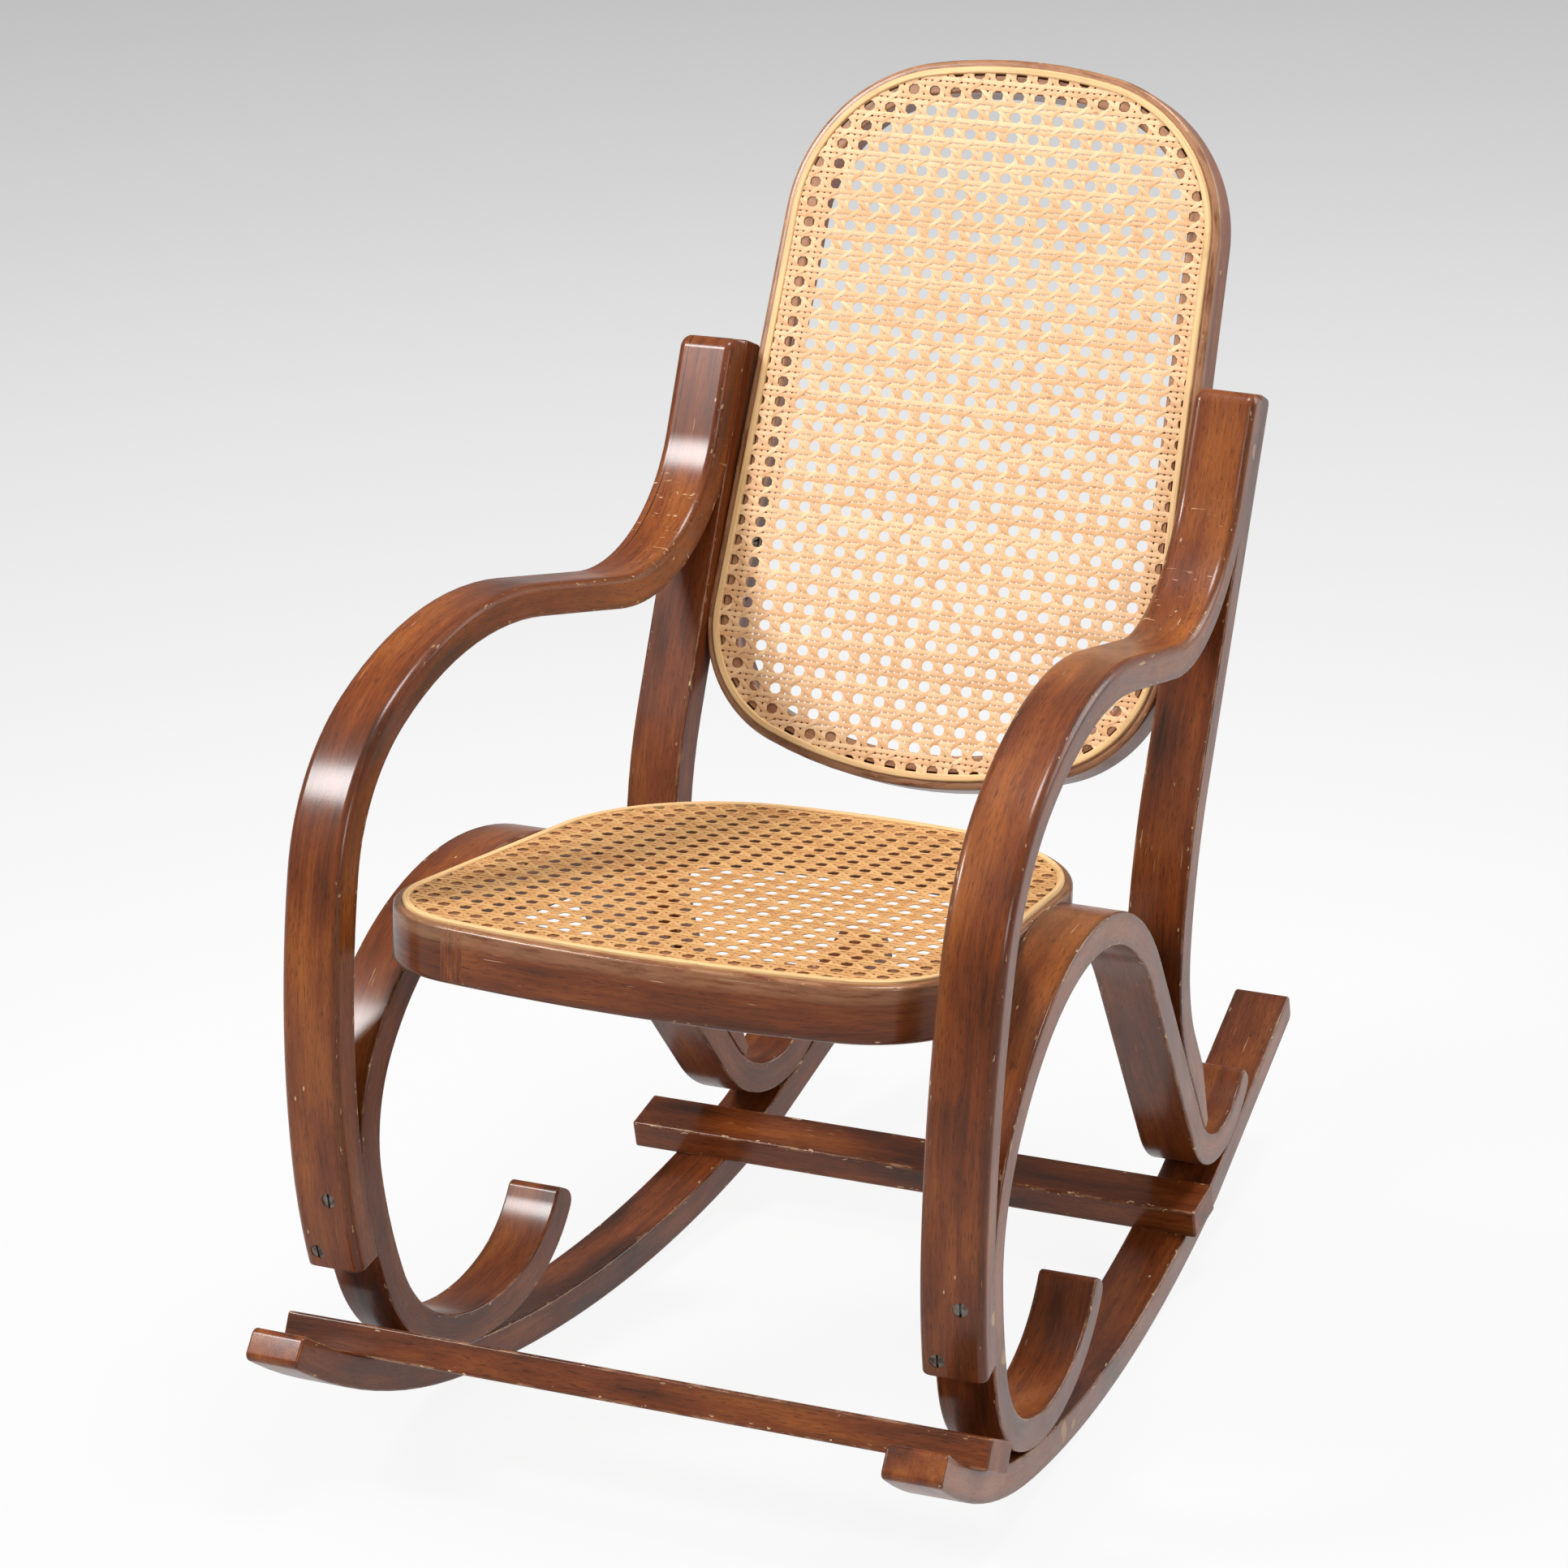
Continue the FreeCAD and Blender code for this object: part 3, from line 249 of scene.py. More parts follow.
def addStrip(name, line, width, thick, middle=0.0, cuts=(), closed=False):
    # a rectangle at the line's start, swept with spin round its bends and with extrude along its straights
    start, heading = line[0][:2]
    clearPick()
    spot = (start + Vector((middle, 0, 0))) * mm
    bpy.ops.mesh.primitive_plane_add(size=1, location=spot, rotation=(math.radians(heading + 90), 0, 0))
    piece = bpy.context.object
    piece.name = name
    piece.scale = (width * mm, thick * mm, 1)
    bpy.ops.object.transform_apply(location=True, rotation=True, scale=True)
    bpy.ops.object.mode_set(mode="EDIT")
    bpy.ops.mesh.select_mode(type="FACE")
    for beside in cuts:
        bpy.ops.mesh.select_all(action="SELECT")
        at = (start + leftVector(heading) * beside) * mm
        bpy.ops.mesh.bisect(plane_co=at, plane_no=leftVector(heading))
    bpy.ops.mesh.select_all(action="SELECT")
    for number, (start, heading, radius, turn) in enumerate(line):
        if not radius:
            way = headingVector(heading) * turn * mm
            bpy.ops.mesh.extrude_region_move(TRANSFORM_OT_translate={"value": way})
            continue
        centre = (start + leftVector(heading) * math.copysign(radius, turn)) * mm
        small = math.copysign(math.degrees(chair["endStep"] / radius), turn)
        first = small if number == 0 and not closed else 0.0
        last = small if number == len(line) - 1 and not closed else 0.0
        rest = turn - first - last
        byTurn, byLength = abs(rest) / chair["turnStep"], bendLength(radius, rest) / chair["longStep"]
        steps = max(1, round(byTurn), round(byLength))
        for angle, count in ((first, 1), (rest, steps), (last, 1)):
            if angle:
                bpy.ops.mesh.spin(steps=count, angle=-math.radians(angle), center=centre, axis=(1, 0, 0))
    if closed:
        bpy.ops.mesh.delete(type="ONLY_FACE")
        start, heading = line[0][:2]
        closePiece()
        # where the ring closes, its start leaves a face inside it
        way = headingVector(heading)
        pickFaces(piece, lambda at, normal: abs(normal.dot(way)) > sameWay and
                  abs((at - start).dot(way)) < nearFace)
        bpy.ops.mesh.delete(type="ONLY_FACE")
        bpy.ops.mesh.select_all(action="SELECT")
        bpy.ops.mesh.remove_doubles(threshold=near * mm)
        bpy.ops.mesh.normals_make_consistent(inside=False)
    closePiece()
    return piece


def roundEnd(piece, line, last, beside, radius):
    # rounds the edge that runs across a strip at one of its ends
    corner = pointAlong(line, lineLength(line) if last else 0.0, beside)[0]
    pickEdges(piece, lambda at: abs(at.y - corner.y) < near and abs(at.z - corner.z) < near)
    roundPicked(radius, segments=5)


# screws sit a little below the wood, each in a mouth that is cut from outside it
screw = {"head": 8.4, "mouth": 1.9, "outside": 4.0, "sides": 40}


def cutMouths(piece, mouths):
    # mouths are given as a point on the wood and the way in, both in the chair
    cutters = []
    for spot, way in mouths:
        clearPick()
        middle = spot * mm + way * (screw["mouth"] / 2 - screw["outside"] / 2) * mm
        depth = screw["mouth"] + screw["outside"]
        bpy.ops.mesh.primitive_cylinder_add(
            vertices=screw["sides"], radius=screw["head"] / 2 * mm, depth=depth * mm, location=middle,
            rotation=way.to_track_quat("Z", "Y").to_euler())
        cutters.append(bpy.context.object)
    cutter = joinPieces(cutters)
    applyModifier(piece, "BOOLEAN", operation="DIFFERENCE", solver="EXACT", object=cutter)
    bpy.data.objects.remove(cutter)


def mouthAt(place, line, distance, beside, sideways, inwards):
    spot, heading = pointAlong(line, distance, beside)
    spot.x = sideways
    turn = place.to_3x3()
    return place @ (spot * mm) / mm, turn @ (leftVector(heading) * inwards)


# the four bent strips of each side frame, as radius and turn, or 0 and a length
scroll = {
    "start": (-56.7, 80.2), "heading": -116.3, "width": 32.5, "thick": 18.0,
    "bends": ((78.0, -41.0), (116.5, -43.9), (78.5, -47.7), (270.2, -13.4), (97.9, -42.2), (156.5, -106.6),
              (0, 165.0), (64.0, 103.9)),
    "hookRound": 8.0, "endRound": 4.0,
}
arm = {
    "start": (-253.2744, 103.9383), "heading": -253.9, "width": 35.0, "thick": 18.0,
    "bends": ((288.2, -11.9), (536.5, -16.6), (114.0, -46.9), (208.9, -41.7),
              (0, 80.63), (103.5, 78.5), (0, 56.44)),
    "outerRound": 5.0, "endRound": 8.0, "footScrews": ((10.0, -8.0), (42.0, 5.0)),
}
post = {
    "start": (121.434, 132.489), "heading": 128.9, "width": 32.5, "thick": 18.0,
    "bends": ((0, 30.7), (100.0, -38.8), (241.3, -22.6), (0, 214.0)),
    "endRound": 4.0, "edgeRound": 1.2, "footAbove": 30.5, "footBeyond": 12.5, "footTip": 6.0,
    "footScrews": (4.0, 24.0), "topScrews": (39.5, 15.5),
}
rocker = {
    "start": (-319.8339, 79.2348), "heading": -35.312, "width": 32.5, "thick": 18.0,
    "bends": ((348.0, 27.7), (776.0, 24.812), (105.0, 5.6), (0, 153.417)),
    "endRound": 4.0, "seats": (175.015, 547.97), "bars": (63.015, 465.015), "pair": 8.0,
}


def strip(name, spec):
    line = traceBends(spec["start"], spec["heading"], spec["bends"])
    return addStrip(name, line, spec["width"], spec["thick"]), line, spec["thick"] / 2


def finishStrip(piece, line, place, spec, mouths, seed, nodes):
    putInPlace(piece, place)
    if mouths:
        cutMouths(piece, mouths)
    smoothOver(piece)
    markGrain(piece, line, place, (spec["width"] / 2, spec["thick"] / 2), seed)
    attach(piece, "root")
    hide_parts(*nodes)
    return piece


def makeScroll(name, side, seed):
    piece, line, half = strip(name + "Scroll", scroll)
    roundEnd(piece, line, False, half, scroll["hookRound"])
    roundEnd(piece, line, True, -half, scroll["hookRound"])
    roundEnd(piece, line, False, -half, scroll["endRound"])
    roundEnd(piece, line, True, half, scroll["endRound"])
    roundSharp(piece, chair["edgeRound"])
    return finishStrip(piece, line, sidePlace(side), scroll, [], seed, (name + "_scroll",))


def makeArm(name, side, seed):
    piece, line, half = strip(name + "Arm", arm)
    roundEnd(piece, line, True, half, arm["endRound"])
    top, heading = pointAlong(line, lineLength(line))

    def besideOf(at):
        return placeOnLine(line, Vector((0, at.y, at.z)))[1]

    def outerEdge(at):
        # on the outer face, or on the upper end and outside its inner corner
        up = (Vector((0, at.y, at.z)) - top).dot(headingVector(heading))
        onEnd = up > -arm["endRound"] - nearFace and besideOf(at) > -half - nearFace
        return abs(besideOf(at) - half) < nearFace or onEnd

    openPiece(piece)
    closePiece()
    good = [outerEdge(vertex.co / mm) for vertex in piece.data.vertices]
    for edge in piece.data.edges:
        ends = [piece.data.vertices[number].co / mm for number in edge.vertices]
        along = abs(ends[0].x - ends[1].x) < nearFace
        inner = all(abs(besideOf(end) + half) < nearFace for end in ends)
        edge.select = all(good[number] for number in edge.vertices) and along and not inner
    bpy.ops.object.mode_set(mode="EDIT")
    roundPicked(arm["outerRound"], segments=6)
    roundSharp(piece, chair["edgeRound"])
    place = sidePlace(side)
    mouths = [mouthAt(place, line, distance, half, sideways, -1) for distance, sideways in arm["footScrews"]]
    return finishStrip(piece, line, place, arm, mouths, seed, (name + "_arm",))


def makePost(name, side, seed):
    piece, line, half = strip(name + "Post", post)
    roundEnd(piece, line, True, -half, post["endRound"])
    # below its first straight the post thins to a wedge that follows the rear leg and its hook
    start, heading = line[0][:2]
    leg = -headingVector(heading)
    inner = start + leftVector(heading) * half
    outer = start - leftVector(heading) * half
    bendStart = inner + leg * post["footAbove"]
    reach = scroll["bends"][-1][0] - scroll["thick"] / 2
    centre = bendStart - leftVector(heading) * reach
    stations = [bendStart]
    toeTurn = math.degrees(post["footBeyond"] / reach)
    for share in (0.5, 1.0):
        stations.append(centre + leftVector(heading + toeTurn * share) * reach)
    toeInner = stations[-1]
    toeOuter = toeInner - leftVector(heading + toeTurn) * post["footTip"]
    pickFaces(piece, lambda at, normal: (at - start).length < nearFace)
    long = (toeInner - inner).length
    for station in stations:
        across = outer.lerp(toeOuter, (station - stations[0]).length / long + post["footAbove"] / long)
        bpy.ops.mesh.extrude_region_move()
        closePiece()
        for vertex in piece.data.vertices:
            if vertex.select:
                at = Vector((0, vertex.co.y, vertex.co.z)) / mm
                target = station if (at - inner).length < (at - outer).length else across
                vertex.co.y, vertex.co.z = target.y * mm, target.z * mm
        inner, outer = station, across
        bpy.ops.object.mode_set(mode="EDIT")
    closePiece()
    roundSharp(piece, post["edgeRound"])
    place = sidePlace(side)
    length = lineLength(line)
    mouths = [mouthAt(place, line, length - distance, -half, 0, 1) for distance in post["topScrews"]]
    mouths += [mouthAt(place, line, distance, -half, 0, 1) for distance in post["footScrews"]]
    return finishStrip(piece, line, place, post, mouths, seed, (name + "_post",))


def makeRocker(name, side, seed):
    piece, line, half = strip(name + "Rocker", rocker)
    for last in (False, True):
        for beside in (half, -half):
            roundEnd(piece, line, last, beside, rocker["endRound"])
    roundSharp(piece, chair["edgeRound"])
    place = sidePlace(side)
    mouths = []
    for distance in rocker["seats"]:
        for sideways in (-rocker["pair"], rocker["pair"]):
            mouths.append(mouthAt(place, line, distance, -half, sideways, 1))
    mouths += [mouthAt(place, line, distance, -half, 0, 1) for distance in rocker["bars"]]
    return finishStrip(piece, line, place, rocker, mouths, seed, (name + "_rocker",))


# each strip's grain starts from a number of its own
seeds = {"strip": 1.7, "side": 0.6, "first": 3}
woodPieces = []
for name, side in (("left", -1), ("right", 1)):
    for number, make in enumerate((makeRocker, makeScroll, makeArm, makePost)):
        woodPieces.append(make(name, side, seeds["strip"] * number + seeds["side"] * side + seeds["first"]))
        print(woodPieces[-1].name, "bent")

# hoops, as an outline round the outside, wood on its left, in the plane of the cane
seat = {
    "origin": (0, -268.0, 301.4), "tilt": -3.0, "start": (-110.924, 8.844), "heading": -9.1176,
    "bends": ((700.0, 18.2353), (61.0, 85.8799), (0, 140.892), (108.0, 77.7721),
              (443.0, 14.4606), (108.0, 77.7721), (0, 140.892), (61.0, 85.8799)),
    "screws": ((-142.83, 277.771, 29.2), (-54.83, 277.771, 29.2)),
    "ring": 30.0, "deep": 31.0, "long": 316.0, "half": 168.0, "rowSpacing": 1.0,
    "seed": 8.2, "splineSeed": 2.2,
}
back = {
    "origin": (0, 85.132, 291.62), "tilt": 67.5, "start": (-89.395, 15.722), "heading": -19.95,
    "bends": ((262.0, 39.9001), (74.0, 71.95), (0, 229.102), (94.0, 77.4593),
              (292.0, 21.2815), (94.0, 77.4593), (0, 229.102), (74.0, 71.95)),
    "screws": ((130.369, 376.791, 17.7), (141.85, 404.508, 18.695)),
    "ring": 19.0, "deep": 23.0, "long": 411.0, "half": 144.0, "rowSpacing": 0.905,
    "seed": 9.6, "splineSeed": 5.1,
}
hoop = {
    "rim": 4.5, "groove": 5.2, "grooveDeep": 4.2, "rimRound": 2.5, "ringRound": 3.5, "innerRound": 1.5,
    "grooveNear": 0.6, "splineWide": 4.0, "splineTop": 1.8, "splineRound": 0.9, "splineGap": 0.05,
}


def hoopLine(spec, inset):
    return traceBends(spec["start"], spec["heading"], spec["bends"], inset)


def pickRun(piece, line, level, inset):
    # the edges that run round a hoop at a level and an inset from its outside
    def wanted(at):
        return abs(at.x - level) < near and abs(placeOnLine(line, Vector((0, at.y, at.z)))[1] - inset) < near
    pickEdges(piece, wanted)


def makeHoop(name, spec):
    ring, deep = spec["ring"], spec["deep"]
    outline = hoopLine(spec, 0.0)
    line = hoopLine(spec, ring / 2)
    cuts = (hoop["rim"] - ring / 2, hoop["rim"] + hoop["groove"] - ring / 2)
    piece = addStrip(name + "Hoop", line, deep, ring, -deep / 2, cuts, True)
    pickRun(piece, outline, 0, 0)
    roundPicked(hoop["rimRound"], segments=4)
    rounded = ((0, -deep, "ringRound"), (ring, -deep, "ringRound"), (ring, 0, "innerRound"))
    for inset, level, radius in rounded:
        pickRun(piece, outline, level, inset)
        roundPicked(hoop[radius], segments=4)
    # the groove that holds the edge of the cane
    middle = hoop["rim"] + hoop["groove"] / 2
    pickFaces(piece, lambda at, normal: abs(at.x) < near and
              abs(placeOnLine(outline, Vector((0, at.y, at.z)))[1] - middle) < hoop["grooveNear"])
    bpy.ops.mesh.extrude_region_move(TRANSFORM_OT_translate={"value": (-hoop["grooveDeep"] * mm, 0, 0)})
    closePiece()
    place = facePlace(spec)
    putInPlace(piece, place)
    # planed flat where the side frames clamp it
    for side in (-1, 1):
        openPiece(piece)
        bpy.ops.mesh.select_all(action="SELECT")
        frameSide = sidePlace(side)
        inner = frameSide @ Vector((-side * scroll["width"] / 2 * mm, 0, 0))
        bpy.ops.mesh.bisect(plane_co=inner, plane_no=frameSide.to_3x3() @ Vector((side, 0, 0)),
                            use_fill=True, clear_outer=True)
        closePiece()
    # screws run out through the ring, each placed in the side view and by its distance from the side frame
    mouths = []
    for side in (-1, 1):
        frameSide = sidePlace(side)
        for y, z, wall in spec["screws"]:
            spot = Vector((-side * (scroll["width"] / 2 + wall), y, z))
            mouths.append((frameSide @ (spot * mm) / mm, frameSide.to_3x3() @ Vector((side, 0, 0))))
    cutMouths(piece, mouths)
    smoothOver(piece)
    markGrain(piece, line, place, (deep / 2, ring / 2), spec["seed"])
    for value in piece.data.attributes["grain"].data:
        value.vector.y += deep / 2 * mm
    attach(piece, "root")
    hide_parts(name + "_hoop")
    return piece


def makeSpline(name, spec):
    wide, top, gap = hoop["splineWide"], hoop["splineTop"], hoop["splineGap"]
    line = hoopLine(spec, hoop["rim"] + wide / 2)
    high = top + hoop["grooveDeep"] - gap
    piece = addStrip(name + "Spline", line, high, wide - gap, top - high / 2, (), True)
    for inset in (-wide / 2 + gap / 2, wide / 2 - gap / 2):
        pickRun(piece, line, top, inset)
        roundPicked(hoop["splineRound"], segments=3)
    place = facePlace(spec)
    putInPlace(piece, place)
    smoothOver(piece)
    markGrain(piece, line, place, (high / 2, wide / 2), spec["splineSeed"])
    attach(piece, "root")
    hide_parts(name + "_spline")
    return piece


woodPieces += [makeHoop("seat", seat), makeHoop("back", back)]
splinePieces = [makeSpline("seat", seat), makeSpline("back", back)]
print("hoops and splines bent")

# the crossbars lie flat across both rockers
crossbar = {
    "width": 30.0, "thick": 17.0, "round": 1.5, "steps": 6,
    "front": {"length": 403.0, "origin": (0.0, -260.936, 54.885), "slope": -24.948, "seed": 12.4},
    "rear": {"length": 349.0, "origin": (-9.5, 127.103, 43.833), "slope": 14.418, "seed": 13.9},
}


def makeCrossbar(name):
    spec = crossbar[name]
    step = (0, spec["length"] / crossbar["steps"])
    line = traceBends((-spec["length"] / 2, crossbar["thick"] / 2), 0, (step,) * crossbar["steps"])
    piece = addStrip(name + "Crossbar", line, crossbar["width"], crossbar["thick"])
    roundSharp(piece, crossbar["round"])
    lay = Matrix(((0, 1, 0, 0), (-1, 0, 0, 0), (0, 0, 1, 0), (0, 0, 0, 1)))
    place = laidPlace(spec["origin"], spec["slope"], lay)
    return finishStrip(piece, line, place, crossbar, [], spec["seed"], (name + "_crossbar",))


woodPieces += [makeCrossbar("front"), makeCrossbar("rear")]
print("crossbars laid")

# the cane is woven of pairs both ways and of two diagonals, which leave round openings
cane = {
    "pitch": 12.7, "pair": 1.85, "wide": 2.6, "diagonalWide": 2.4, "thick": 0.4, "crown": 0.16, "lift": 0.02,
    "step": 2.1167, "diagonalReach": 1.45, "spareStrands": 3, "edge": 6.6, "onOutline": 0.5,
    "smoothBelow": 50.0,
    # the middle of each kind of strand over the wood, and how far it waves up and down about that
    "acrossLevel": 0.78, "alongLevel": 0.58, "pairWave": 0.12, "diagonalLevel": 0.66, "diagonalWave": 0.32,
    "turn": {"across": 0, "along": 90, "rising": 45, "falling": -45},
}


def strandLevel(kind, at):
    # height of a strand's middle over the wood, over and under the others
    wave = 2 * math.pi / cane["pitch"]
    if kind == "across":
        return cane["acrossLevel"] + cane["pairWave"] * math.cos(wave * at.x)
    if kind == "along":
        return cane["alongLevel"] - cane["pairWave"] * math.cos(wave * at.y)
    way = 1 if kind == "rising" else -1
    return cane["diagonalLevel"] + way * cane["diagonalWave"] * math.cos(wave * at.y)


def layStrands(name, spec, kind, long):
    # one strand or pair across the hoop's middle, repeated at the pitch to both sides
    pitch = cane["pitch"]
    diagonal = kind in ("rising", "falling")
    span = {"across": 2 * spec["half"], "along": long}.get(kind, long * cane["diagonalReach"])
    steps = math.ceil(span / cane["step"])
    wide = cane["diagonalWide"] if diagonal else cane["wide"]
    clearPick()
    bpy.ops.mesh.primitive_grid_add(x_subdivisions=steps, y_subdivisions=2, size=1)
    piece = bpy.context.object
    piece.name = name + "Cane" + kind.capitalize()
    piece.scale = (steps * cane["step"] * mm, wide * mm, 1)
    piece.rotation_euler.z = math.radians(cane["turn"][kind])
    bpy.ops.object.transform_apply(location=True, rotation=True, scale=True)
    single = len(piece.data.vertices)
    if not diagonal:
        beside = Vector((0, cane["pair"], 0)) if kind == "across" else Vector((cane["pair"], 0, 0))
        piece.data.transform(Matrix.Translation(-beside * mm))
        applyModifier(piece, "ARRAY", count=2, use_relative_offset=False, use_constant_offset=True,
                      constant_offset_displace=beside * 2 * mm)
    way = Vector((0, pitch, 0)) if kind == "across" else Vector((pitch, 0, 0))
    room = {"across": long, "along": 2 * spec["half"]}.get(kind, long + 2 * spec["half"])
    eachSide = (math.ceil(room / pitch) + cane["spareStrands"] - 1) // 2
    applyModifier(piece, "ARRAY", count=2 * eachSide + 1, use_relative_offset=False, use_constant_offset=True,
                  constant_offset_displace=way * mm)
    # a hoop's middle falls in the middle of an opening, so that the pairs run half a pitch from it
    start = Vector((0, spec["long"] / 2, 0)) - way * eachSide
    start += way / 2
    piece.data.transform(Matrix.Translation(start * mm))
    return piece, single, steps + 1, wide


def weaveStrands(piece, spec, kind, single, rowLength, wide):
    # bends the strands over and under each other, crowns them and notes where each point lies in its strand
    middleY = spec["long"] / 2
    # crossing points are counted from a crossing of two pairs
    crossing = Vector((cane["pitch"] / 2, middleY + cane["pitch"] / 2, 0))
    turn = math.radians(cane["turn"][kind])
    away = Vector((math.cos(turn), math.sin(turn), 0))
    grain = piece.data.attributes.new("grain", "FLOAT_VECTOR", "POINT")
    tones = {}
    for number, vertex in enumerate(piece.data.vertices):
        at = vertex.co / mm
        row = (number % single) // rowLength
        crown = cane["crown"] if row == 1 else 0.0
        vertex.co.z = (strandLevel(kind, at - crossing) + crown + cane["lift"]) * mm
        tone = tones.setdefault(number // single, random.random())
        grain.data[number].vector = (at.dot(away) * mm, (row - 1) * wide / 2 * mm, tone)
        vertex.co.y = (middleY + (at.y - middleY) * spec["rowSpacing"]) * mm


def insideOutline(line, at, inset):
    # the wood's outline runs anticlockwise, so a point inside lies to its left
    share, beside = placeOnLine(line, Vector((0, at.x, at.y)), cane["onOutline"])
    return beside > inset if beside or share else True


def makeCane(name, spec, kind):
    long = spec["long"] / spec["rowSpacing"]
    piece, single, rowLength, wide = layStrands(name, spec, kind, long)
    weaveStrands(piece, spec, kind, single, rowLength, wide)
    # trimmed to the hoop's groove
    line = hoopLine(spec, 0.0)
    openPiece(piece, "VERT")
    closePiece()
    for vertex in piece.data.vertices:
        vertex.select = not insideOutline(line, vertex.co / mm, cane["edge"])
    bpy.ops.object.mode_set(mode="EDIT")
    bpy.ops.mesh.delete(type="VERT")
    closePiece()
    applyModifier(piece, "SOLIDIFY", thickness=cane["thick"] * mm, offset=-1)
    unswap = Matrix(((0, 0, 1, 0), (1, 0, 0, 0), (0, 1, 0, 0), (0, 0, 0, 1)))
    putInPlace(piece, facePlace(spec) @ unswap)
    pickOnly(piece)
    bpy.ops.object.shade_smooth_by_angle(angle=math.radians(cane["smoothBelow"]))
    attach(piece, "root")
    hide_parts(name + "_cane")
    return piece


canePieces = {"seat": [], "back": []}
for name, spec in (("seat", seat), ("back", back)):
    for kind in cane["turn"]:
        canePieces[name].append(makeCane(name, spec, kind))
        print(canePieces[name][-1].name, "woven,", len(canePieces[name][-1].data.polygons), "faces")


class Wire:
    # a node output that takes plain arithmetic and adds the Math nodes for it
    def __init__(self, sheet, socket):
        self.sheet, self.socket = sheet, socket

    def maths(self, operation, *values):
        return self.sheet.add("ShaderNodeMath", {"operation": operation}, dict(enumerate(values)))

    def __add__(self, other):
        return self.maths("ADD", self, other)

    def __sub__(self, other):
        return self.maths("SUBTRACT", self, other)

    def __mul__(self, other):
        return self.maths("MULTIPLY", self, other)

    def __truediv__(self, other):
        return self.maths("DIVIDE", self, other)

    def __rsub__(self, other):
        return self.maths("SUBTRACT", other, self)

    def __abs__(self):
        return self.maths("ABSOLUTE", self)

    def larger(self, other):
        return self.maths("MAXIMUM", self, other)

    def below(self, low, high):
        # 1 under low, falling smoothly to 0 at high
        return self.ramp(high, low)

    def ramp(self, low, high):
        return self.sheet.add("ShaderNodeMapRange", {"interpolation_type": "SMOOTHSTEP"},
                              {"Value": self, "From Min": low, "From Max": high})

    __radd__ = __add__
    __rmul__ = __mul__


class Sheet:
    # a material's node sheet
    def __init__(self, name):
        self.material = bpy.data.materials.new(name)
        self.material.use_nodes = True
        self.nodes = self.material.node_tree.nodes
        self.links = self.material.node_tree.links
        self.nodes.clear()

    def add(self, kind, settings=None, sockets=None, out=0):
        node = self.nodes.new(kind)
        for key, value in (settings or {}).items():
            if key == "stops":
                elements = node.color_ramp.elements
                while len(elements) < len(value):
                    elements.new(0.5)
                for element, (position, colour) in zip(elements, value):
                    element.position = position
                    element.color = (*colour, 1)
            else:
                setattr(node, key, value)
        for key, value in (sockets or {}).items():
            if isinstance(value, Wire):
                self.links.new(value.socket, node.inputs[key])
            else:
                node.inputs[key].default_value = value
        return Wire(self, node.outputs[out]) if node.outputs else None

    def mix(self, factor, first, second):
        # sockets 6 and 7 are the Mix node's two colours and output 2 its mixed colour
        first = first if isinstance(first, Wire) else (*first, 1)
        second = second if isinstance(second, Wire) else (*second, 1)
        return self.add("ShaderNodeMix", {"data_type": "RGBA"}, {0: factor, 6: first, 7: second}, 2)

    def objectPlace(self):
        # output 3 of Texture Coordinate is the place in the object
        return self.add("ShaderNodeTexCoord", {}, {}, 3)

    def stretch(self, place, scale, turn=0.0):
        return self.add("ShaderNodeMapping", {}, {"Vector": place, "Scale": scale, "Rotation": (0, 0, turn)})

    def noise(self, place, scale=1.0, detail=2.0, roughness=0.5, distortion=0.0):
        return self.add("ShaderNodeTexNoise", {}, {"Vector": place, "Scale": scale, "Detail": detail,
                                                   "Roughness": roughness, "Distortion": distortion})

    def attribute(self, name):
        return self.add("ShaderNodeAttribute", {"attribute_name": name}, {}, "Vector")

    def split(self, vector):
        node = self.nodes.new("ShaderNodeSeparateXYZ")
        self.links.new(vector.socket, node.inputs[0])
        return [Wire(self, output) for output in node.outputs]

    def bump(self, height, strength, distance):
        return self.add("ShaderNodeBump", {}, {"Height": height, "Strength": strength, "Distance": distance})

    def finish(self, **sockets):
        named = {key.replace("_", " "): value for key, value in sockets.items()}
        shader = self.add("ShaderNodeBsdfPrincipled", {}, named)
        self.add("ShaderNodeOutputMaterial", {}, {"Surface": shader})
        return self.material


wood = {
    "dark": (0.032, 0.0080, 0.0020), "middle": (0.158, 0.0345, 0.0062), "light": (0.305, 0.088, 0.0145),
    "worn": (0.40, 0.20, 0.10), "bare": (0.66, 0.46, 0.27), "crack": (0.006, 0.003, 0.002),
    "darkAt": 0.36, "middleAt": 0.51, "lightAt": 0.68,
    "cloudShare": 0.58, "bandShare": 0.26, "streakShare": 0.18, "poreRange": (0.54, 0.68), "poreShare": 0.6,
    "swayBy": (0, 0.010, 0.010), "jump": (3.1, 0.37, 0.21),
    "specular": 0.16, "coat": 0.5, "coatLost": 0.4, "coatRoughness": 0.2, "coatIor": 1.5,
    "roughness": 0.42, "glossRange": (0.3, 0.8), "glossShare": 0.15, "wornRoughness": 0.3,
    "poreHeight": -0.7, "streakHeight": 0.3, "glossHeight": 0.5, "wornHeight": -0.9, "relief": (0.28, 0.0006),
}
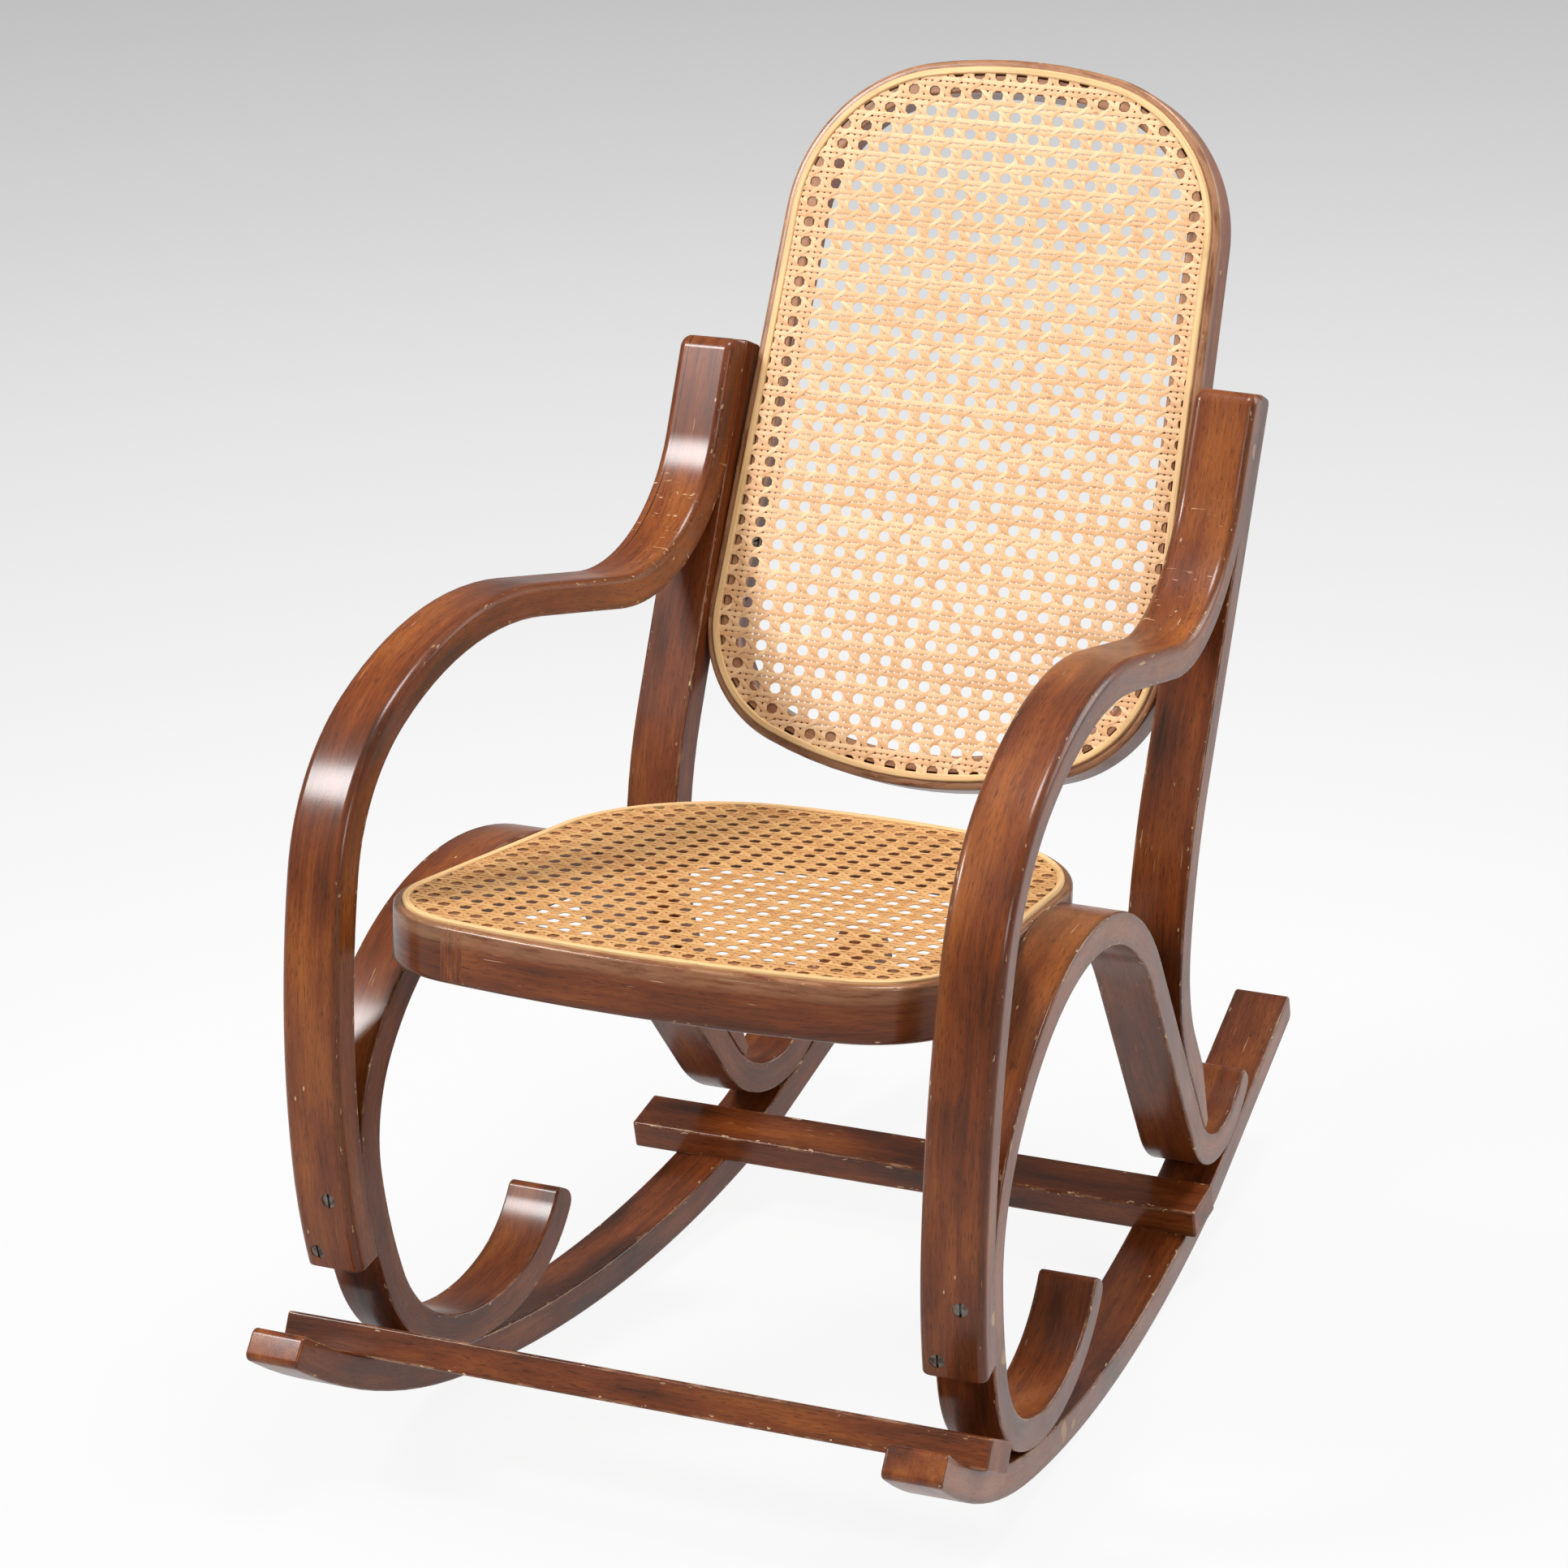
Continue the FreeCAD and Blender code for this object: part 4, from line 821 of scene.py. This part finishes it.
# noises drawn along a strip: repeats a metre along, across and through it, detail, roughness and distortion
drawn = {
    "sway": ((9, 30, 30), 1.0), "clouds": ((10, 30, 30), 4.0, 0.55), "bands": ((6, 110, 90), 3.0, 0.6),
    "streaks": ((24, 560, 480), 4.0, 0.62), "pores": ((150, 1700, 1700), 2.0, 0.55),
    "rub": ((60, 260, 260), 4.0, 0.65), "chips": ((160, 420, 420), 2.0, 0.5), "chosen": ((19, 40, 40), 1.0),
    "gloss": ((30, 60, 60), 4.0, 0.6), "scratches": ((40, 1100, 40), 1.0),
    "crossed": ((620, 90, 60), 1.0, 0.5, 1.2),
    "fibres": ((22, 1500, 1500), 3.0, 0.6), "stains": ((38, 90, 90), 4.0, 0.65),
}
# wear as ranges of those noises, and of the distance in metres to an edge or along a strip
wornAt = {
    "grime": (0.001, 0.006), "grimeClouds": (0.42, 0.60), "grimeShare": 0.45,
    "line": (0.0004, 0.0020), "lineRub": (0.47, 0.62), "lineShare": 0.7,
    "chips": (0.001, 0.0035), "chipNoise": (0.66, 0.70),
    "fleckScale": (48, 110, 110), "fleckSize": (0.04, 0.08), "nicked": (0.60, 0.66), "handNicks": 0.1,
    "scratchTurn": 0.9, "scratchNoise": (0.725, 0.75), "scratched": (0.36, 0.42), "scratchShare": 0.7,
    "crossedTurn": 0.6, "crossedNoise": (0.71, 0.75), "handled": (0.585, 0.665), "handFade": 0.02,
    "face": (0.003, 0.010), "faceRub": 0.9, "faceStreaks": 0.5, "faceNoise": (0.42, 0.80),
    "crackStart": (0.575, 0.585), "crackAside": 0.0105, "crackSway": 0.004,
    "crackWide": (0.00012, 0.00042), "crackFace": (0.0, 0.004),
}


def drawNoise(sheet, place, name, turn=0.0):
    scale, *look = drawn[name]
    return sheet.noise(sheet.stretch(place, scale, turn), 1.0, *look)


class Grain:
    # a bent strip's grain on a sheet, with the stain and the wear that follow it
    def __init__(self, sheet):
        self.sheet = sheet
        run = sheet.attribute("grain")
        self.along, self.across, self.through = sheet.split(run)
        halfWide, halfThick, seed = sheet.split(sheet.attribute("section"))
        jump = {axis: seed * share for axis, share in zip("XYZ", wood["jump"])}
        jump = sheet.add("ShaderNodeCombineXYZ", {}, jump)
        self.place = sheet.add("ShaderNodeVectorMath", {"operation": "ADD"}, {0: run, 1: jump})
        # distance from the nearest long edge
        self.edge = (halfWide - abs(self.across)).larger(halfThick - abs(self.through))
        self.sway = self.noise("sway")
        self.clouds, self.rub, self.chosen = [self.noise(name) for name in ("clouds", "rub", "chosen")]
        swayed = sheet.add("ShaderNodeCombineXYZ", {}, {"Y": self.sway - 0.5, "Z": self.sway - 0.5})
        swayed = sheet.add("ShaderNodeVectorMath", {"operation": "MULTIPLY_ADD"},
                           {0: swayed, 1: wood["swayBy"], 2: self.place})
        self.bands, self.streaks, self.pores = [
            drawNoise(sheet, swayed, name) for name in ("bands", "streaks", "pores")]

    def noise(self, name, turn=0.0):
        return drawNoise(self.sheet, self.place, name, turn)

    def between(self, low, high, fade):
        # 1 from low to high along the strip
        return self.along.ramp(low - fade, low) * self.along.below(high, high + fade)

    def stain(self):
        tone = self.clouds * wood["cloudShare"] + self.bands * wood["bandShare"]
        tone = tone + self.streaks * wood["streakShare"]
        stops = [(wood[name + "At"], wood[name]) for name in ("dark", "middle", "light")]
        colour = self.sheet.add("ShaderNodeValToRGB", {"stops": stops}, {"Fac": tone})
        colour = self.sheet.mix(self.pores.ramp(*wood["poreRange"]) * wood["poreShare"], colour, wood["dark"])
        grime = self.edge.below(*wornAt["grime"]) * self.clouds.ramp(*wornAt["grimeClouds"])
        return self.sheet.mix(grime * wornAt["grimeShare"], colour, wood["dark"])

    def edgeLine(self, wear):
        line = self.edge.below(*wornAt["line"]) * self.rub.ramp(*wornAt["lineRub"]) * wear
        return line * wornAt["lineShare"]

    def bared(self, wear, handled):
        # chips along the edges, nicks and scratches, with more of them where hands lie
        chipped = self.edge.below(*wornAt["chips"]) * self.noise("chips").ramp(*wornAt["chipNoise"]) * wear
        flecks = self.sheet.add("ShaderNodeTexVoronoi", {"feature": "F1"}, {
            "Vector": self.sheet.stretch(self.place, wornAt["fleckScale"]), "Scale": 1.0, "Randomness": 1.0})
        hand = self.between(*wornAt["handled"], wornAt["handFade"]) if handled else None
        nickedBy = self.chosen + (hand * wornAt["handNicks"] if handled else 0.0)
        nicks = flecks.below(*wornAt["fleckSize"]) * nickedBy.ramp(*wornAt["nicked"]) * wear
        scratches = self.noise("scratches", wornAt["scratchTurn"]).ramp(*wornAt["scratchNoise"])
        scratches = scratches * self.chosen.below(*wornAt["scratched"]) * wear
        if handled:
            crossed = self.noise("crossed", wornAt["crossedTurn"]).ramp(*wornAt["crossedNoise"])
            scratches = scratches.larger(crossed * hand)
        return chipped.larger(nicks).larger(scratches * wornAt["scratchShare"])

    def thinned(self):
        # varnish rubbed thin on the face round the cane
        rubbed = self.rub * wornAt["faceRub"] + self.streaks * wornAt["faceStreaks"]
        return self.across.ramp(*wornAt["face"]) * rubbed.ramp(*wornAt["faceNoise"])

    def crack(self):
        aside = abs(self.across + (self.sway - 0.5) * wornAt["crackSway"] + wornAt["crackAside"])
        opened = aside.below(*wornAt["crackWide"]) * self.along.ramp(*wornAt["crackStart"])
        return opened * self.through.ramp(*wornAt["crackFace"])


def stainedWood(name, wear=1.0, pale=0.0, handled=False, cracked=False):
    # stain drawn along the bent grain, under varnish that is worn along the edges
    sheet = Sheet(name)
    grain = Grain(sheet)
    colour = sheet.mix(grain.edgeLine(wear), grain.stain(), wood["worn"])
    bared = grain.bared(wear, handled)
    colour = sheet.mix(bared, colour, wood["bare"])
    if pale:
        colour = sheet.mix(grain.thinned() * pale, colour, wood["worn"])
    if cracked:
        colour = sheet.mix(grain.crack(), colour, wood["crack"])
    gloss = grain.noise("gloss")
    roughness = wood["roughness"] + gloss.ramp(*wood["glossRange"]) * wood["glossShare"]
    roughness = roughness + bared * wood["wornRoughness"]
    height = grain.pores * wood["poreHeight"] + grain.streaks * wood["streakHeight"]
    height = height + gloss * wood["glossHeight"] + bared * wood["wornHeight"]
    return sheet.finish(
        Base_Color=colour, Roughness=roughness, Normal=sheet.bump(height, *wood["relief"]),
        Specular_IOR_Level=wood["specular"], Coat_Weight=wood["coat"] - bared * wood["coatLost"],
        Coat_Roughness=wood["coatRoughness"], Coat_IOR=wood["coatIor"])


# the seat's and the back's reed, each pale and deep; the seat's reed is set darker and more orange than the
# back's, partly for its dirtier tone and partly as painted shade
reed = {
    "seat": ((0.61, 0.35, 0.14), (0.46, 0.215, 0.07)), "back": ((0.79, 0.52, 0.285), (0.65, 0.35, 0.155)),
    "dirt": (0.34, 0.16, 0.06), "strandJump": 7.0,
    "fibres": (45, 2600, 1), "patches": (26, 60, 1), "knots": (120, 420, 1),
    "toneShare": 0.34, "patchShare": 0.62, "fibreShare": 0.22, "shade": (0.34, 0.86),
    "knotRange": (0.66, 0.74), "knotShare": 0.6,
    "roughness": 0.42, "patchRoughness": 0.2, "relief": (0.25, 0.0003),
}


def canework(name, light, deep):
    # glossy outer skin of rattan, each strand with a tone of its own
    sheet = Sheet(name)
    along, across, tone = sheet.split(sheet.attribute("grain"))
    place = sheet.add("ShaderNodeCombineXYZ", {}, {"X": along, "Y": across, "Z": tone * reed["strandJump"]})
    fibres = sheet.noise(sheet.stretch(place, reed["fibres"]), 1.0, 3.0, 0.6)
    patches = sheet.noise(sheet.stretch(place, reed["patches"]), 1.0, 3.0, 0.6)
    shade = tone * reed["toneShare"] + patches * reed["patchShare"] + fibres * reed["fibreShare"]
    colour = sheet.mix(shade.ramp(*reed["shade"]), light, deep)
    knots = sheet.noise(sheet.stretch(place, reed["knots"]), 1.0, 2.0)
    colour = sheet.mix(knots.ramp(*reed["knotRange"]) * reed["knotShare"], colour, reed["dirt"])
    return sheet.finish(Base_Color=colour, Roughness=reed["roughness"] + patches * reed["patchRoughness"],
                        Normal=sheet.bump(fibres, *reed["relief"]))


splineLook = {
    "pale": (0.78, 0.52, 0.25), "deep": (0.60, 0.35, 0.14), "dirt": (0.36, 0.18, 0.07),
    "fibreRange": (0.3, 0.75), "stainRange": (0.56, 0.76), "stainShare": 0.55,
    "roughness": 0.45, "stainRoughness": 0.25, "relief": (0.3, 0.0003),
}


def splineReed(name):
    look = splineLook
    sheet = Sheet(name)
    grain = sheet.attribute("grain")
    fibres, stains = drawNoise(sheet, grain, "fibres"), drawNoise(sheet, grain, "stains")
    colour = sheet.mix(fibres.ramp(*look["fibreRange"]), look["pale"], look["deep"])
    colour = sheet.mix(stains.ramp(*look["stainRange"]) * look["stainShare"], colour, look["dirt"])
    return sheet.finish(Base_Color=colour, Roughness=look["roughness"] + stains * look["stainRoughness"],
                        Normal=sheet.bump(fibres, *look["relief"]))


steel = {
    "bright": (0.21, 0.19, 0.17), "rust": (0.07, 0.04, 0.025),
    "grimeScale": 260.0, "brushed": (900, 220, 900),
    "grimeRange": (0.42, 0.66), "dullRange": (0.5, 0.7), "dullShare": 0.6,
    "roughness": 0.38, "grimeRoughness": 0.3, "relief": (0.2, 0.0002),
}


def oldSteel(name):
    # dull screw heads with a little rust and dirt
    sheet = Sheet(name)
    place = sheet.objectPlace()
    grime = sheet.noise(place, steel["grimeScale"], 4.0, 0.65)
    brushed = sheet.noise(sheet.stretch(place, steel["brushed"]), 1.0, 2.0)
    colour = sheet.mix(grime.ramp(*steel["grimeRange"]), steel["bright"], steel["rust"])
    metal = 1.0 - grime.ramp(*steel["dullRange"]) * steel["dullShare"]
    roughness = steel["roughness"] + grime * steel["grimeRoughness"]
    return sheet.finish(Base_Color=colour, Metallic=metal, Roughness=roughness,
                        Normal=sheet.bump(brushed, *steel["relief"]))


def dressPiece(piece, material):
    piece.data.materials.clear()
    piece.data.materials.append(material)


frameWood = stainedWood("frameWood", 0.7)
barWood = stainedWood("barWood", 1.3)
armWood = stainedWood("armWood", 0.8, handled=True)
splitWood = stainedWood("splitWood", 0.8, handled=True, cracked=True)
seatRimWood = stainedWood("seatRimWood", pale=0.5)
backRimWood = stainedWood("backRimWood", pale=0.8)
woods = {
    "leftArm": splitWood, "rightArm": armWood, "seatHoop": seatRimWood, "backHoop": backRimWood,
    "frontCrossbar": barWood, "rearCrossbar": barWood,
}
for piece in woodPieces:
    dressPiece(piece, woods.get(piece.name, frameWood))
for piece in splinePieces:
    dressPiece(piece, splineReed(piece.name + "Reed"))
for name, pieces in canePieces.items():
    caneReed = canework(name + "Reed", *reed[name])
    for piece in pieces:
        dressPiece(piece, caneReed)
screwSteel = oldSteel("screwSteel")
for name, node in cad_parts.items():
    if "screws" in name:
        for holder in node.material_slots:
            holder.material = screwSteel
print("finishes mixed")

# pale floor that runs out to grey behind, the grey being painted shade where the light falls off far from the
# chair, and plain lamps, in metres
stage = {
    "floorSize": 30.0, "paint": 0.5, "seenShare": 0.9, "sky": 0.27, "reach": 5.0,
    # share of the reach, and the grey of the painted shade there
    "fade": ((0.12, 1.0), (0.19, 0.956), (0.272, 0.888), (0.372, 0.807),
             (0.494, 0.694), (0.648, 0.584), (0.834, 0.474)),
}


def floorFinish():
    sheet = Sheet("paleFloor")
    # output 1 of Vector Math is its number
    far = sheet.add("ShaderNodeVectorMath", {"operation": "LENGTH"}, {0: sheet.objectPlace()}, 1)
    stops = [(at, (value,) * 3) for at, value in stage["fade"]]
    # the glow seen by the camera turns grey with distance from the chair: painted shade
    grey = sheet.add("ShaderNodeValToRGB", {"stops": stops}, {"Fac": far / stage["reach"]})
    glow = sheet.add("ShaderNodeEmission", {}, {"Color": grey, "Strength": 1.0})
    paint = sheet.add("ShaderNodeBsdfDiffuse", {}, {"Color": (stage["paint"],) * 3 + (1,)})
    path = sheet.nodes.new("ShaderNodeLightPath")
    seen = Wire(sheet, path.outputs["Is Camera Ray"]).larger(Wire(sheet, path.outputs["Is Glossy Ray"]))
    seen = seen.larger(Wire(sheet, path.outputs["Is Transmission Ray"]))
    mixed = sheet.add("ShaderNodeMixShader", {}, {0: seen * stage["seenShare"], 1: paint, 2: glow})
    sheet.add("ShaderNodeOutputMaterial", {}, {"Surface": mixed})
    return sheet.material


clearPick()
bpy.ops.mesh.primitive_plane_add(size=stage["floorSize"], location=(0, 0, 0))
floor = bpy.context.object
floor.name = "floor"
dressPiece(floor, floorFinish())

world = bpy.data.worlds.new("studio")
bpy.context.scene.world = world
world.use_nodes = True
sky = world.node_tree.nodes["Background"]
sky.inputs["Color"].default_value = (1.0, 1.0, 1.0, 1)
sky.inputs["Strength"].default_value = stage["sky"]

lamps = {
    "key": {"place": (-1.9, -1.7, 2.5), "aim": (0, 0, 0.35), "size": 0.9, "power": 92.0},
    "top": {"place": (0.4, 0.2, 3.0), "aim": (0, 0, 0.3), "size": 1.0, "power": 58.0},
    "right": {"place": (2.6, -1.8, 1.4), "aim": (0, 0, 0.3), "size": 0.9, "power": 24.0},
    "behind": {"place": (2.3, 3.1, 1.5), "aim": (0, 0, 0.3), "size": 2.4, "power": 60.0},
}
for name, spec in lamps.items():
    clearPick()
    bpy.ops.object.light_add(type="AREA", location=spec["place"])
    lamp = bpy.context.object
    lamp.name = name + "Lamp"
    lamp.data.shape = "DISK"
    lamp.data.size = spec["size"]
    lamp.data.energy = spec["power"]
    lamp.rotation_euler = (Vector(spec["aim"]) - Vector(spec["place"])).to_track_quat("-Z", "Y").to_euler()

# the camera stands in the chair's own frame, in millimetres and degrees
view = {
    "place": (1269.5, -2830.3, 1290.0), "turn": 24.61, "down": 17.41,
    "lens": 138.1, "sensor": 36, "shift": -0.0104,
}
turn, down = math.radians(view["turn"]), math.radians(view["down"])
ahead = Vector((-math.sin(turn) * math.cos(down), math.cos(turn) * math.cos(down), -math.sin(down)))
right = Vector((math.cos(turn), math.sin(turn), 0))
upward = right.cross(ahead)
aimed = Matrix((right, upward, -ahead)).transposed().to_4x4()
bpy.ops.object.camera_add()
camera = bpy.context.object
camera.name = "camera"
camera.matrix_world = restPlace() @ Matrix.Translation(Vector(view["place"]) * mm) @ aimed
camera.data.lens = view["lens"]
camera.data.sensor_width = view["sensor"]
camera.data.shift_x = view["shift"]
bpy.context.scene.camera = camera
bpy.context.scene.view_settings.view_transform = "Standard"
print("stage lit")
